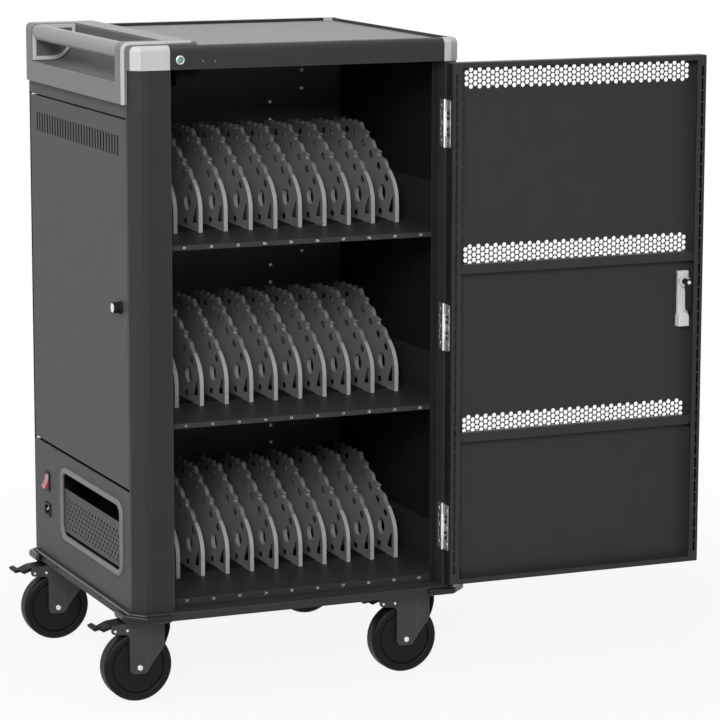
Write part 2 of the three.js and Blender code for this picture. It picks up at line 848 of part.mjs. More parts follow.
// Handle housing: a skirt over the side, a finger trough and two end cheeks
const handleLeft = left - handleOverhang;
const handleTop = topZ + handleProud;
const skirtLow = postTop - skirtDrop;
const troughFloor = postTop - troughDrop;
const troughRight = handleLeft + troughWidth;
const skirtIn = handleLeft + skirtWall;
const handleUnder = railTop + seat;
const bendX = troughRight - troughBend;
const bendZ = handleTop - handleLip;
const troughWall = troughFloor - handleUnder;
function troughCurve(grow, startAngle) {
  return Array.from({ length: troughSteps + 1 }, (_, i) => {
    const angle = startAngle + (i / troughSteps) * (-Math.PI / 2 - startAngle);
    return [
      bendX + (troughBend + grow) * Math.cos(angle),
      bendZ + (bendZ - troughFloor + grow) * Math.sin(angle),
    ];
  });
}

const ledgeTop = ledge + seat;
const ledgeAngle = Math.asin((ledgeTop - bendZ) / (bendZ - troughFloor + troughWall));
const housingOutline = [
  [handleLeft, skirtLow],
  [handleLeft, troughFloor - handleLip],
  [handleLeft + handleLip, troughFloor],
  ...troughCurve(0, 0).reverse(),
  [troughRight + handleLip, handleTop],
  [handleInner - 2 * handleLip, handleTop],
  [handleInner, ledgeTop + handleLip],
  [handleInner, ledgeTop],
  ...troughCurve(troughWall, ledgeAngle),
  [skirtIn, handleUnder],
  [skirtIn, skirtLow],
];
const cheekOutline = [
  [handleLeft, troughFloor - 2 * handleLip],
  [bendX, troughFloor - handleLip],
  [troughRight + handleLip, bendZ],
  [troughRight + handleLip, handleTop],
  ...Array.from({ length: arcSteps + 1 }, (_, i) => {
    const angle = (1 + i / arcSteps) * (Math.PI / 2);
    return [
      handleLeft + cheekCorner * (1 + Math.cos(angle)),
      handleTop - cheekCorner * (1 - Math.sin(angle)),
    ];
  }),
];
const cheekFrontEnd = handleFront + frontCheek;
const cheekRearEnd = rearCheekBack - rearCheek;
const housing = cut(
  join(
    prismY(outline(housingOutline), handleFront, rearCheekBack),
    prismY(outline(cheekOutline), handleFront, cheekFrontEnd),
    prismY(outline(cheekOutline), cheekRearEnd, rearCheekBack),
  ),
  block([left - seat, handleEdge], [front, stopBack], [skirtLow, frameLow]),
  block([rearLeft - seat, handleEdge], [beamRear, rear], [skirtLow, frameLow]),
);
add(cart, 'handle_housing', housing, greyPlastic);

// Grip bar between the cheeks
const barOutline = roundedRectangle(
  handleLeft + barInset,
  handleLeft + barInset + barDepth,
  handleTop - barInset - barHeight,
  handleTop - barInset,
  barRounding,
);
add(cart, 'handle_bar', prismY(outline(barOutline), cheekFrontEnd + seat, cheekRearEnd - seat), greyPlastic);

// Shelves: folded sheet with a front lip and an upstand on the right wall
const shelfLeft = innerLeft + seat;
const shelfRight = innerRight - seat;
const shelfRear = backWall - seat;
for (const level of levels) {
  const top = shelfTop(level);
  const lip = level === 0 ? firstShelfRise - seat : shelfLip;
  const shelf = join(
    block([shelfLeft, shelfRight], [shelfFront, shelfRear], [top - sheet, top]),
    block([shelfLeft, shelfRight], [shelfFront, shelfFront + sheet], [top - lip, top]),
    block([shelfRight - sheet, shelfRight], [shelfFront, shelfRear], [top - sheet, top + shelfUpstand]),
  );
  add(cart, `shelf_${level + 1}`, shelf, blackPaint);
}

// Dividers: fins with an upright nose, a sloping notched back and a level crest
function dividerEdge(back) {
  if (back < slopeBack) {
    return shoulderRise + ((slopeRise - shoulderRise) * (back - shoulderBack)) / (slopeBack - shoulderBack);
  }
  const along = Math.min((back - slopeBack) / (crestBack - slopeBack), 1);
  return slopeRise + (dividerHeight - slopeRise) * along * (2 - along);
}

const notchPlaces = Array.from({ length: notchCount }, (_, i) => notchStart + i * notchPitch);
const notches = notchPlaces.flatMap((back) => [
  [back - notchHalf, dividerEdge(back - notchHalf)],
  [back, dividerEdge(back) - notchDepth],
  [back + notchHalf, dividerEdge(back + notchHalf)],
]);
const nosePoints = Array.from({ length: arcSteps }, (_, i) => {
  const t = i / arcSteps;
  return [
    shoulderBack * t * t,
    dividerNose * (1 - t) ** 2 + 2 * t * (1 - t) * noseBend + shoulderRise * t * t,
  ];
});
const dividerOutline = [
  [0, 0],
  [dividerLength, 0],
  [dividerLength, dividerHeight],
  ...notches.reverse(),
  [shoulderBack, shoulderRise],
  ...nosePoints.reverse(),
];
const dividerFront = shelfFront + dividerSetback;
const firstX = innerLeft + firstDivider;
const dividerPitch = (innerRight - lastDivider - firstX) / (dividerCount - 1);
const divider = outline(dividerOutline.map(([back, rise]) => [dividerFront + back, rise]));
for (const level of levels) {
  const fins = Array.from({ length: dividerCount }, (_, i) => {
    const middle = firstX + i * dividerPitch;
    return prismX(divider, middle - dividerThickness / 2, middle + dividerThickness / 2);
  });
  const strip = block(
    [firstX, firstX + (dividerCount - 1) * dividerPitch],
    [dividerFront + dividerNose, dividerFront + dividerLength - dividerNose],
    [0, dividerStrip],
  );
  const rack = add(cart, `divider_rack_${level + 1}`, join(strip, ...fins), dividerPlastic);
  rack.position.z = shelfTop(level) + seat;
}

// Wiring compartment: one power strip for each shelf and the charging control
const stripFace = innerLeft - sheet - seat;
const controlEnd = wallFront + controlFront + controlLength;
const serviceSpan = serviceHigh - serviceLow;
for (const level of levels) {
  const middle = serviceLow + ((level + 0.5) * serviceSpan) / shelfCount;
  const strip = block(
    [stripFace - stripDepth, stripFace],
    [controlEnd + stripGap, wallRear - stripBack],
    span(middle, stripHeight / 2),
  );
  add(cart, `power_strip_${level + 1}`, strip, blackPlastic);
}
add(
  cart,
  'control_unit',
  block(
    [stripFace - controlDepth, stripFace],
    [wallFront + controlFront, controlEnd],
    [serviceHigh - controlDrop - controlHeight, serviceHigh - controlDrop],
  ),
  greyPlastic,
);

// Front door, standing open: a pan with returned edges and two stiffening rails
const hingeX = rebateX - hingeGap / 2;
const hingeY = front - hingePinForward;
const doorWidth = hingeX - hingeGap / 2 - innerLeft - doorGap;
const doorX = [rebateX, rebateX + doorWidth];
const doorOuter = 2 * hingeY - front;
const doorInner = doorOuter - doorThickness;
const doorZ = [baseTop + doorBottomGap, postTop - doorTopGap];
const spindleX = doorX[1] - lockFromEdge;
const lockBodyX = span(spindleX - lockOffset, lockBodyWidth / 2);
const lockBodyZ = [lockZ - lockBodyBelow, lockZ + lockBodyAbove];
const lockNeckX = grow(lockBodyX, -lockNeckIn);
const lockNeckZ = grow(lockBodyZ, -lockNeckIn);
const doorPan = cut(
  block(doorX, [doorInner, doorOuter], doorZ),
  block(grow(doorX, -sheet), [doorInner + sheet, doorOuter - sheet], grow(doorZ, -sheet)),
  block(grow(doorX, -doorRim), [doorInner - sheet, doorInner + 2 * sheet], grow(doorZ, -doorRimTop)),
  block(grow(lockNeckX, seat), [doorOuter - 2 * sheet, doorOuter + sheet], grow(lockNeckZ, seat)),
);
const doorRails = railUnder.map((low) =>
  block(
    grow(doorX, -sheet / 2),
    [doorOuter - sheet - doorRailDepth, doorOuter - sheet / 2],
    [low, low + doorRailHeight],
  ),
);
add(cart, 'front_door', join(doorPan, ...doorRails), darkPaint);

// Lock housing: inner body, neck through the door and outer escutcheon
const skinIn = doorOuter - sheet - seat;
const skinOut = doorOuter + seat;
const escutcheonX = grow(lockBodyX, escutcheonMargin);
const escutcheonZ = grow(lockBodyZ, escutcheonMargin);
const lockHousing = cut(
  join(
    block(lockBodyX, [skinIn - lockBodyDepth, skinIn], lockBodyZ),
    block(lockNeckX, [skinIn - sheet, skinOut + sheet], lockNeckZ),
    block(escutcheonX, [skinOut, skinOut + escutcheonDepth], escutcheonZ),
  ),
  rodY(holeFor(spindleDiameter), doorInner, doorOuter + 3 * escutcheonDepth, spindleX, lockZ),
);
add(cart, 'lock_housing', lockHousing, palePlastic);

// Lock spindle with its inner cam, hanging down, and its outer lever
const camBack = doorInner - camClearance;
const leverIn = skinOut + escutcheonDepth + seat;
const camOutline = [
  [spindleX - camWidth / 2, lockZ + camWidth / 2],
  [spindleX - camWidth / 2, lockZ - camWidth / 2],
  [spindleX - camTipWidth / 2, lockZ - camLength],
  [spindleX + camTipWidth / 2, lockZ - camLength],
  [spindleX + camWidth / 2, lockZ - camWidth / 2],
  [spindleX + camWidth / 2, lockZ + camWidth / 2],
];
const lockSpindle = join(
  rodY(spindleDiameter, camBack - camThickness, leverIn + leverThickness, spindleX, lockZ),
  prismY(outline(camOutline), camBack - camThickness, camBack),
  block(
    [spindleX - leverLength, spindleX + leverWidth / 2],
    [leverIn, leverIn + leverThickness],
    span(lockZ, leverWidth / 2),
  ),
);
add(cart, 'lock_spindle', lockSpindle, blackPlastic);

// Butt hinges: the post's leaf carries the pin, the door's leaf turns on it
const leafX = [hingeGap / 2 - seat - hingeLeafThickness, hingeGap / 2 - seat];
const leafStart = hingeKnuckleDiameter / 2 + seat * 2;
const halfHinge = hingeHeight / 2;
const halfMiddle = hingeMiddle / 2;

function postLeaf() {
  const ends = [
    [halfMiddle + seat, halfHinge],
    [-halfHinge, -halfMiddle - seat],
  ];
  return join(
    block(leafX, [leafStart, leafStart + hingeLeafWidth], [-halfHinge, halfHinge]),
    rodZ(hingePinDiameter, -halfHinge, halfHinge, 0, 0, 12),
    ...ends.map(([low, high]) => rodZ(hingeKnuckleDiameter, low, high, 0, 0, 12)),
    ...ends.map(([low, high]) => block(leafX, [0, leafStart + seat], [low, high])),
  );
}

function doorLeaf() {
  return cut(
    join(
      block(leafX, [-leafStart - hingeLeafWidth, -leafStart], [-halfHinge, halfHinge]),
      rodZ(hingeKnuckleDiameter, -halfMiddle, halfMiddle, 0, 0, 12),
      block(leafX, [-leafStart - seat, 0], [-halfMiddle, halfMiddle]),
    ),
    rodZ(holeFor(hingePinDiameter, 12), -hingeHeight, hingeHeight, 0, 0, 12),
  );
}

const hingeRise = [hingeMargin, bodyHeight / 2, bodyHeight - hingeMargin];
hingeRise.forEach((rise, i) => {
  const hinge = new THREE.Group();
  hinge.position.set(hingeX, hingeY, baseTop + rise);
  add(hinge, `hinge_post_leaf_${i + 1}`, postLeaf(), zinc);
  add(hinge, `hinge_door_leaf_${i + 1}`, doorLeaf(), zinc);
  cart.add(hinge);
});

// Casters, each built about its own swivel axis and trailing towards -X
const wheelRadius = wheelDiameter / 2;
const forkHalf = wheelWidth / 2 + forkSideGap + forkPlate;
const armHalf = forkHalf - forkPlate;
const axleX = -casterTrail;
const armEnd = axleX - armReach;
const crownBottom = crownTop - crownThickness;
const pedalX = axleX - pedalPivotBack;
const pedalZ = crownTop - pedalPivotDrop;

function noseOutline(half, start) {
  const shape = new THREE.Shape();
  shape.moveTo(start, -half);
  shape.lineTo(forkNose, -half);
  shape.absarc(forkNose, 0, half, -Math.PI / 2, Math.PI / 2, false);
  shape.lineTo(start, half);
  return shape;
}

function casterFork() {
  const wall = cut(
    prismZ(noseOutline(forkHalf, armEnd), axleZ - legFoot, crownTop),
    prismZ(noseOutline(armHalf, armEnd - forkPlate), axleZ - 2 * legFoot, crownTop + forkPlate),
  );
  const noseX = forkNose + forkHalf;
  const crownBack = pedalX + crownFromPedal;
  const side = [
    [armEnd, crownTop - forkPlate],
    [armEnd, crownTop - armDrop],
    [axleX - legHalfWidth, crownTop - armDrop - legHalfWidth],
    [axleX - legHalfWidth, axleZ],
    ...Array.from({ length: legSteps }, (_, i) => {
      const angle = Math.PI * (1 + (i + 1) / legSteps);
      return [axleX + legHalfWidth * Math.cos(angle), axleZ + legFoot * Math.sin(angle)];
    }),
    [forkNose, crownTop - slopeDrop],
    [noseX, crownTop - noseDrop],
    [noseX, crownTop],
    [crownBack, crownTop],
  ];
  const body = join(
    common(wall, prismY(outline(side), -2 * forkHalf, 2 * forkHalf)),
    prismZ(noseOutline(forkHalf - forkPlate / 2, crownBack), crownBottom, crownTop),
    rodY(axleDiameter, -forkHalf, forkHalf, axleX, axleZ),
    rodY(axleHeadDiameter, armHalf + sheet, forkHalf + axleHeadHeight, axleX, axleZ, 6),
    rodY(axleHeadDiameter, -forkHalf - axleHeadHeight, -armHalf - sheet, axleX, axleZ, 6),
  );
  return cut(body, rodY(holeFor(pedalPinDiameter), -2 * forkHalf, 2 * forkHalf, pedalX, pedalZ));
}

function casterWheel() {
  const half = wheelWidth / 2;
  const bore = holeFor(axleDiameter, wheelFacets) / 2;
  const disc = wheelDiscDiameter / 2;
  const profile = [
    [bore, -half + wheelDiscRecess],
    [disc, -half + wheelDiscRecess],
    [disc + wheelDiscRecess, -half],
    [wheelRadius - tyreRounding, -half],
    [wheelRadius, -half + tyreRounding],
    [wheelRadius, half - tyreRounding],
    [wheelRadius - tyreRounding, half],
    [disc + wheelDiscRecess, half],
    [disc, half - wheelDiscRecess],
    [bore, half - wheelDiscRecess],
    [bore, -half + wheelDiscRecess],
  ];
  const points = profile.map(([r, y]) => new THREE.Vector2(r, y));
  return new THREE.LatheGeometry(points, wheelFacets, Math.PI / wheelFacets);
}

function brakePedal() {
  const top = pedalLine.map(([share, rise]) => [-pedalReach * share, rise]);
  const under = top.map(([x, rise]) => [x, rise - pedalThickness]).reverse();
  const hub = [
    [-pedalHub, -pedalHub / 2],
    [0, -pedalHub * 0.75],
    [pedalHub, -pedalHub / 2],
    [pedalHub, pedalHub],
  ];
  const half = armHalf - pedalSideGap;
  return join(
    prismY(outline([...top, ...under, ...hub]), -half, half),
    rodY(pedalPinDiameter, -forkHalf - sheet, forkHalf + sheet, 0, 0),
  );
}

const plateTop = baseTop - sheet - seat;
const casterX = right - casterInsetX;
const casterY = rear - casterInsetY;
for (const [frontName, signY] of [['front', -1], ['rear', 1]]) {
  for (const [sideName, signX] of [['left', -1], ['right', 1]]) {
    const place = `${frontName}_${sideName}`;
    const caster = new THREE.Group();
    caster.position.set(signX * casterX, signY * casterY, 0);
    const plate = join(
      block(
        span(0, casterPlateX / 2),
        span(0, casterPlateY / 2),
        [plateTop - casterPlateThickness, plateTop],
      ),
      rodZ(racewayDiameter, crownTop + seat, plateTop - casterPlateThickness / 2, 0, 0, 24),
    );
    add(caster, `caster_plate_${place}`, plate, zinc);
    add(caster, `caster_fork_${place}`, casterFork(), blackPaint);
    add(caster, `caster_wheel_${place}`, casterWheel(), rubber).position.set(axleX, 0, axleZ);
    add(caster, `brake_pedal_${place}`, brakePedal(), blackPaint).position.set(pedalX, 0, pedalZ);
    cart.add(caster);
  }
}

// Origin on the floor, under the middle of the whole object at rest
const bounds = new THREE.Box3().setFromObject(cart);
cart.position.set(-(bounds.min.x + bounds.max.x) / 2, -(bounds.min.y + bounds.max.y) / 2, -bounds.min.z);

export default cart;
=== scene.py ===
import json
import math

import bpy
from mathutils import Matrix, Vector


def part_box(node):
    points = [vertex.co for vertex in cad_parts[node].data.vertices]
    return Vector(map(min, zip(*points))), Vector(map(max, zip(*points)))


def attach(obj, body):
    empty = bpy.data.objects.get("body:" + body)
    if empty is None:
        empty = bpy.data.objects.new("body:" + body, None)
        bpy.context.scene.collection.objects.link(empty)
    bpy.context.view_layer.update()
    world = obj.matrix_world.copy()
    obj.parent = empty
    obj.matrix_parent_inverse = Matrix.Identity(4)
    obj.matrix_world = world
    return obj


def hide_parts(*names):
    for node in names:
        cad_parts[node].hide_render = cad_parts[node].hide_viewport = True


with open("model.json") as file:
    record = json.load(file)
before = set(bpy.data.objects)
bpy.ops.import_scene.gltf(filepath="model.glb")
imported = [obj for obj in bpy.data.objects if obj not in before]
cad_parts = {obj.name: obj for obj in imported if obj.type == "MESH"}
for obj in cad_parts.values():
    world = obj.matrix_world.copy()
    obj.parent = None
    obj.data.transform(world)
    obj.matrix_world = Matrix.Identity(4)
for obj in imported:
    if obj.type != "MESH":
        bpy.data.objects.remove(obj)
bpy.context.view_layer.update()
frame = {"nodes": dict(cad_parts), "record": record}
trayLow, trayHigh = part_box("base_tray")
middle = (trayLow + trayHigh) / 2
print("frame loaded:", len(frame["nodes"]), "nodes")

# camera at the photograph's angle, soft white studio round the cart
view = {"place": (-2.19455, -5.2244, 1.499), "yaw": 23.063, "pitch": 9.876, "roll": 0.098, "lens": 162.7}
studio = {
    "ambient": 0.11,
    "floorSize": 40,
    "floorGlow": (0.9, 1.0, 0.7, 2.0),  # share of plain white seen by the camera, near and far, and where (m)
    "lamps": (  # name, place, aim, size, watts
        ("keyLamp", (-2.4, -4.8, 3.0), (0, 0, 0.6), 1.8, 198),
        ("sideLamp", (-2.7, -0.1, 3.5), (0, 0, 0.6), 1.6, 53),
        ("topLamp", (-0.4, -0.5, 4.2), (0, 0, 0.6), 2.4, 28),
        ("fillLamp", (4.2, 2.2, 2.6), (0, 0, 0.6), 2.4, 23),
        ("rimLamp", (1.4, 3.4, 1.9), (0, 0, 0.6), 2.4, 9),
    ),
}


def dropSelection():
    if bpy.context.object and bpy.context.object.mode != "OBJECT":
        bpy.ops.object.mode_set(mode="OBJECT")
    bpy.ops.object.select_all(action="DESELECT")


def addNode(tree, kind, settings=None, links=None):
    made = tree.nodes.new(kind)
    for key, value in (settings or {}).items():
        if isinstance(key, str) and hasattr(made, key):
            setattr(made, key, value)
        else:
            made.inputs[key].default_value = value
    for key, source in (links or {}).items():
        tree.links.new(source, made.inputs[key])
    return made


def tint(hexText):
    parts = [int(hexText[i:i + 2], 16) / 255 for i in (1, 3, 5)]
    return tuple(p / 12.92 if p <= 0.04045 else ((p + 0.055) / 1.055) ** 2.4 for p in parts) + (1,)


def setStudio():
    dropSelection()
    yaw, pitch, roll = (math.radians(view[k]) for k in ("yaw", "pitch", "roll"))
    bpy.ops.object.camera_add()
    camera = bpy.context.object
    camera.name = "photoCamera"
    camera.matrix_world = (
        Matrix.Translation(view["place"])
        @ Matrix.Rotation(-yaw, 4, "Z")
        @ Matrix.Rotation(math.pi / 2 - pitch, 4, "X")
        @ Matrix.Rotation(roll, 4, "Z")
    )
    camera.data.lens = view["lens"]
    camera.data.sensor_width = 36
    camera.data.clip_end = 100
    bpy.context.scene.camera = camera

    for name, place, aim, size, watts in studio["lamps"]:
        bpy.ops.object.light_add(type="AREA", location=place)
        lamp = bpy.context.object
        lamp.name = name
        lamp.rotation_euler = (Vector(aim) - Vector(place)).to_track_quat("-Z", "Y").to_euler()
        lamp.data.size = size
        lamp.data.energy = watts

    world = bpy.data.worlds.new("studioAir")
    bpy.context.scene.world = world
    world.use_nodes = True
    tree = world.node_tree
    tree.nodes.clear()
    path = addNode(tree, "ShaderNodeLightPath")
    seen = addNode(tree, "ShaderNodeMath", {"operation": "MAXIMUM"},
                   {0: path.outputs["Is Camera Ray"], 1: path.outputs["Is Transmission Ray"]})
    seen = addNode(tree, "ShaderNodeMath", {"operation": "MAXIMUM"},
                   {0: seen.outputs[0], 1: path.outputs["Is Glossy Ray"]})
    soft = addNode(tree, "ShaderNodeBackground", {"Color": tint("#ffffff"), "Strength": studio["ambient"]})
    white = addNode(tree, "ShaderNodeBackground", {"Color": tint("#ffffff"), "Strength": 1})
    mixed = addNode(tree, "ShaderNodeMixShader", None,
                    {0: seen.outputs[0], 1: soft.outputs[0], 2: white.outputs[0]})
    addNode(tree, "ShaderNodeOutputWorld", None, {"Surface": mixed.outputs[0]})

    bpy.ops.mesh.primitive_plane_add(size=studio["floorSize"])
    floor = bpy.context.object
    floor.name = "studioFloor"
    paper = bpy.data.materials.new("White studio paper, matt")
    paper.use_nodes = True
    tree = paper.node_tree
    tree.nodes.clear()
    path = addNode(tree, "ShaderNodeLightPath")
    seen = addNode(tree, "ShaderNodeMath", {"operation": "MAXIMUM"},
                   {0: path.outputs["Is Camera Ray"], 1: path.outputs["Is Transmission Ray"]})
    seen = addNode(tree, "ShaderNodeMath", {"operation": "MAXIMUM"},
                   {0: seen.outputs[0], 1: path.outputs["Is Glossy Ray"]})
    near, far, start, end = studio["floorGlow"]
    place = addNode(tree, "ShaderNodeTexCoord")
    away = addNode(tree, "ShaderNodeVectorMath", {"operation": "LENGTH"}, {0: place.outputs["Object"]})
    reach = addNode(tree, "ShaderNodeMapRange",
                    {"From Min": start, "From Max": end, "To Min": near, "To Max": far},
                    {"Value": away.outputs["Value"]})
    share = addNode(tree, "ShaderNodeMath", {"operation": "MULTIPLY"},
                    {0: seen.outputs[0], 1: reach.outputs["Result"]})
    lit = addNode(tree, "ShaderNodeBsdfDiffuse", {"Color": tint("#e0e0e0")})
    glow = addNode(tree, "ShaderNodeEmission", {"Color": tint("#ffffff"), "Strength": 1})
    mixed = addNode(tree, "ShaderNodeMixShader", None,
                    {0: share.outputs[0], 1: lit.outputs[0], 2: glow.outputs[0]})
    addNode(tree, "ShaderNodeOutputMaterial", None, {"Surface": mixed.outputs[0]})
    floor.data.materials.append(paper)
    bpy.context.scene.view_settings.view_transform = "Standard"


setStudio()
print("studio ready")


# hand tools: every size is in mm from the cabinet's middle and the floor
def at(x, y, z):
    return Vector((middle.x + x / 1000, middle.y + y / 1000, z / 1000))


def fromMiddle(point):
    return Vector(((point.x - middle.x) * 1000, (point.y - middle.y) * 1000, point.z * 1000))


def onAxis(axis, u, v, along):
    return at(*{"x": (along, u, v), "y": (u, along, v), "z": (u, v, along)}[axis])


def focus(piece):
    dropSelection()
    piece.select_set(True)
    bpy.context.view_layer.objects.active = piece


def applyPlace(piece):
    focus(piece)
    bpy.ops.object.transform_apply(location=True, rotation=True, scale=True)
    return piece


def modify(piece, kind, **settings):
    focus(piece)
    bpy.ops.object.modifier_add(type=kind)
    made = piece.modifiers[-1]
    for key, value in settings.items():
        setattr(made, key, value)
    bpy.ops.object.modifier_apply(modifier=made.name)
    return piece


def soften(piece, width=0.0, segments=3, angle=30, smooth=50):
    if width:
        modify(piece, "BEVEL", width=width / 1000, segments=segments, limit_method="ANGLE",
               angle_limit=math.radians(angle))
    focus(piece)
    bpy.ops.object.shade_smooth_by_angle(angle=math.radians(smooth))
    return modify(piece, "WEIGHTED_NORMAL", keep_sharp=True)


def cutAway(piece, *cutters):
    for cutter in cutters:
        modify(piece, "BOOLEAN", operation="DIFFERENCE", solver="EXACT", object=cutter)
        bpy.data.objects.remove(cutter)
    return piece


def weld(piece, *others):
    for other in others:
        modify(piece, "BOOLEAN", operation="UNION", solver="EXACT", object=other)
        bpy.data.objects.remove(other)
    return piece


def shared(piece, other):
    modify(piece, "BOOLEAN", operation="INTERSECT", solver="EXACT", object=other)
    bpy.data.objects.remove(other)
    return piece


def addBox(xs, ys, zs):
    dropSelection()
    low, high = at(xs[0], ys[0], zs[0]), at(xs[1], ys[1], zs[1])
    bpy.ops.mesh.primitive_cube_add(size=1, location=(low + high) / 2)
    piece = bpy.context.object
    piece.scale = high - low
    return applyPlace(piece)


def addRod(axis, radius, low, high, u, v, sides=24, tip=None):
    turn = {"x": (0, math.pi / 2, 0), "y": (-math.pi / 2, 0, 0), "z": (0, 0, 0)}[axis]
    dropSelection()
    bpy.ops.mesh.primitive_cone_add(
        vertices=sides, radius1=radius / 1000, radius2=(radius if tip is None else tip) / 1000,
        depth=(high - low) / 1000, location=onAxis(axis, u, v, (low + high) / 2), rotation=turn)
    return applyPlace(bpy.context.object)


def addShape(axis, points, low, high):
    # a flat disc whose rim is moved onto the outline, then extruded
    dropSelection()
    bpy.ops.mesh.primitive_circle_add(vertices=len(points), fill_type="NGON")
    piece = applyPlace(bpy.context.object)
    for vertex, (u, v) in zip(piece.data.vertices, points):
        vertex.co = onAxis(axis, u, v, low)
    bpy.ops.object.mode_set(mode="EDIT")
    bpy.ops.mesh.select_all(action="SELECT")
    reach = onAxis(axis, 0, 0, high) - onAxis(axis, 0, 0, low)
    bpy.ops.mesh.extrude_region_move(TRANSFORM_OT_translate={"value": reach})
    bpy.ops.mesh.select_all(action="SELECT")
    bpy.ops.mesh.normals_make_consistent(inside=False)
    bpy.ops.object.mode_set(mode="OBJECT")
    return piece


def spinShape(axis, points, u, v, steps=48):
    # a closed outline of (radius, place along the axis) turned once round
    dropSelection()
    bpy.ops.mesh.primitive_circle_add(vertices=len(points), fill_type="NOTHING")
    piece = applyPlace(bpy.context.object)
    for vertex, (radius, along) in zip(piece.data.vertices, points):
        side = (u + radius, v) if axis != "x" else (u, v + radius)
        vertex.co = onAxis(axis, side[0], side[1], along)
    way = {"x": (1, 0, 0), "y": (0, 1, 0), "z": (0, 0, 1)}[axis]
    bpy.ops.object.mode_set(mode="EDIT")
    bpy.ops.mesh.select_all(action="SELECT")
    bpy.ops.mesh.spin(steps=steps, angle=2 * math.pi, center=onAxis(axis, u, v, 0), axis=way)
    bpy.ops.mesh.select_all(action="SELECT")
    bpy.ops.mesh.remove_doubles(threshold=1e-6)
    bpy.ops.mesh.normals_make_consistent(inside=False)
    bpy.ops.object.mode_set(mode="OBJECT")
    return piece


def pick(piece, kind, test):
    # leaves the piece in edit mode with the faces or edges that pass the test selected
    focus(piece)
    bpy.ops.object.mode_set(mode="EDIT")
    bpy.ops.mesh.select_mode(type=kind)
    bpy.ops.mesh.select_all(action="DESELECT")
    bpy.ops.object.mode_set(mode="OBJECT")
    mesh = piece.data
    if kind == "FACE":
        for face in mesh.polygons:
            face.select = bool(test(fromMiddle(face.center), face.normal))
    else:
        for edge in mesh.edges:
            ends = [fromMiddle(mesh.vertices[i].co) for i in edge.vertices]
            edge.select = bool(test(*ends))
    bpy.ops.object.mode_set(mode="EDIT")


def roundEdges(piece, width, segments, test):
    pick(piece, "EDGE", test)
    bpy.ops.mesh.bevel(offset=width / 1000, segments=segments, affect="EDGES")
    bpy.ops.object.mode_set(mode="OBJECT")
    return piece


def sink(piece, test, border, depth):
    # insets the picked faces and pushes them in; a negative depth raises them
    pick(piece, "FACE", test)
    bpy.ops.mesh.inset(thickness=border / 1000)
    bpy.ops.mesh.extrude_region_shrink_fatten(TRANSFORM_OT_shrink_fatten={"value": -depth / 1000})
    bpy.ops.object.mode_set(mode="OBJECT")
    return piece


def copyOf(piece, dx=0.0, dy=0.0, dz=0.0):
    focus(piece)
    bpy.ops.object.duplicate()
    bpy.ops.transform.translate(value=(dx / 1000, dy / 1000, dz / 1000))
    return applyPlace(bpy.context.object)


def repeat(piece, count, dx=0.0, dy=0.0, dz=0.0):
    return modify(piece, "ARRAY", count=count, use_relative_offset=False, use_constant_offset=True,
                  constant_offset_displace=(dx / 1000, dy / 1000, dz / 1000))


def joined(*pieces):
    dropSelection()
    for piece in pieces:
        piece.select_set(True)
    bpy.context.view_layer.objects.active = pieces[0]
    bpy.ops.object.join()
    return pieces[0]


def nodeCopy(node):
    # a CAD node's loose triangles, merged and freed of their flat seams
    made = bpy.data.objects.new(node + "_copy", frame["nodes"][node].data.copy())
    bpy.context.collection.objects.link(made)
    focus(made)
    bpy.ops.mesh.customdata_custom_splitnormals_clear()
    bpy.ops.object.mode_set(mode="EDIT")
    bpy.ops.mesh.select_all(action="SELECT")
    bpy.ops.mesh.remove_doubles(threshold=1e-5)
    bpy.ops.mesh.dissolve_limited(angle_limit=math.radians(0.5))
    bpy.ops.object.mode_set(mode="OBJECT")
    return made


def settle(piece, name, body, slot, finish, *nodes):
    piece.name = piece.data.name = name
    if len(piece.data.materials) < 2:  # a piece in two finishes keeps them
        piece.data.materials.clear()
        piece.data.materials.append(finish)
    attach(piece, body)
    if nodes:
        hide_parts(*nodes)
    return piece


def recolour(piece, finish, test):
    # a second finish on the faces that pass the test
    piece.data.materials.append(finish)
    pick(piece, "FACE", test)
    piece.active_material_index = len(piece.data.materials) - 1
    bpy.ops.object.material_slot_assign()
    bpy.ops.object.mode_set(mode="OBJECT")
    return piece


def arc(u, v, radius, start, end, steps):
    turn = [math.radians(start + (end - start) * i / steps) for i in range(steps + 1)]
    return [(u + radius * math.cos(a), v + radius * math.sin(a)) for a in turn]


def roundRect(u0, u1, v0, v1, radius, steps=6):
    corners = ((u1, v1, -1, -1, 0), (u0, v1, 1, -1, 90), (u0, v0, 1, 1, 180), (u1, v0, -1, 1, 270))
    return [p for u, v, su, sv, start in corners
            for p in arc(u + su * radius, v + sv * radius, radius, start, start + 90, steps)]


def newFinish(name):
    made = bpy.data.materials.new(name)
    made.use_nodes = True
    made.node_tree.nodes.clear()
    return made, made.node_tree


def shadeOf(hexText, factor):
    red, green, blue, alpha = tint(hexText)
    return (min(red * factor, 1), min(green * factor, 1), min(blue * factor, 1), alpha)


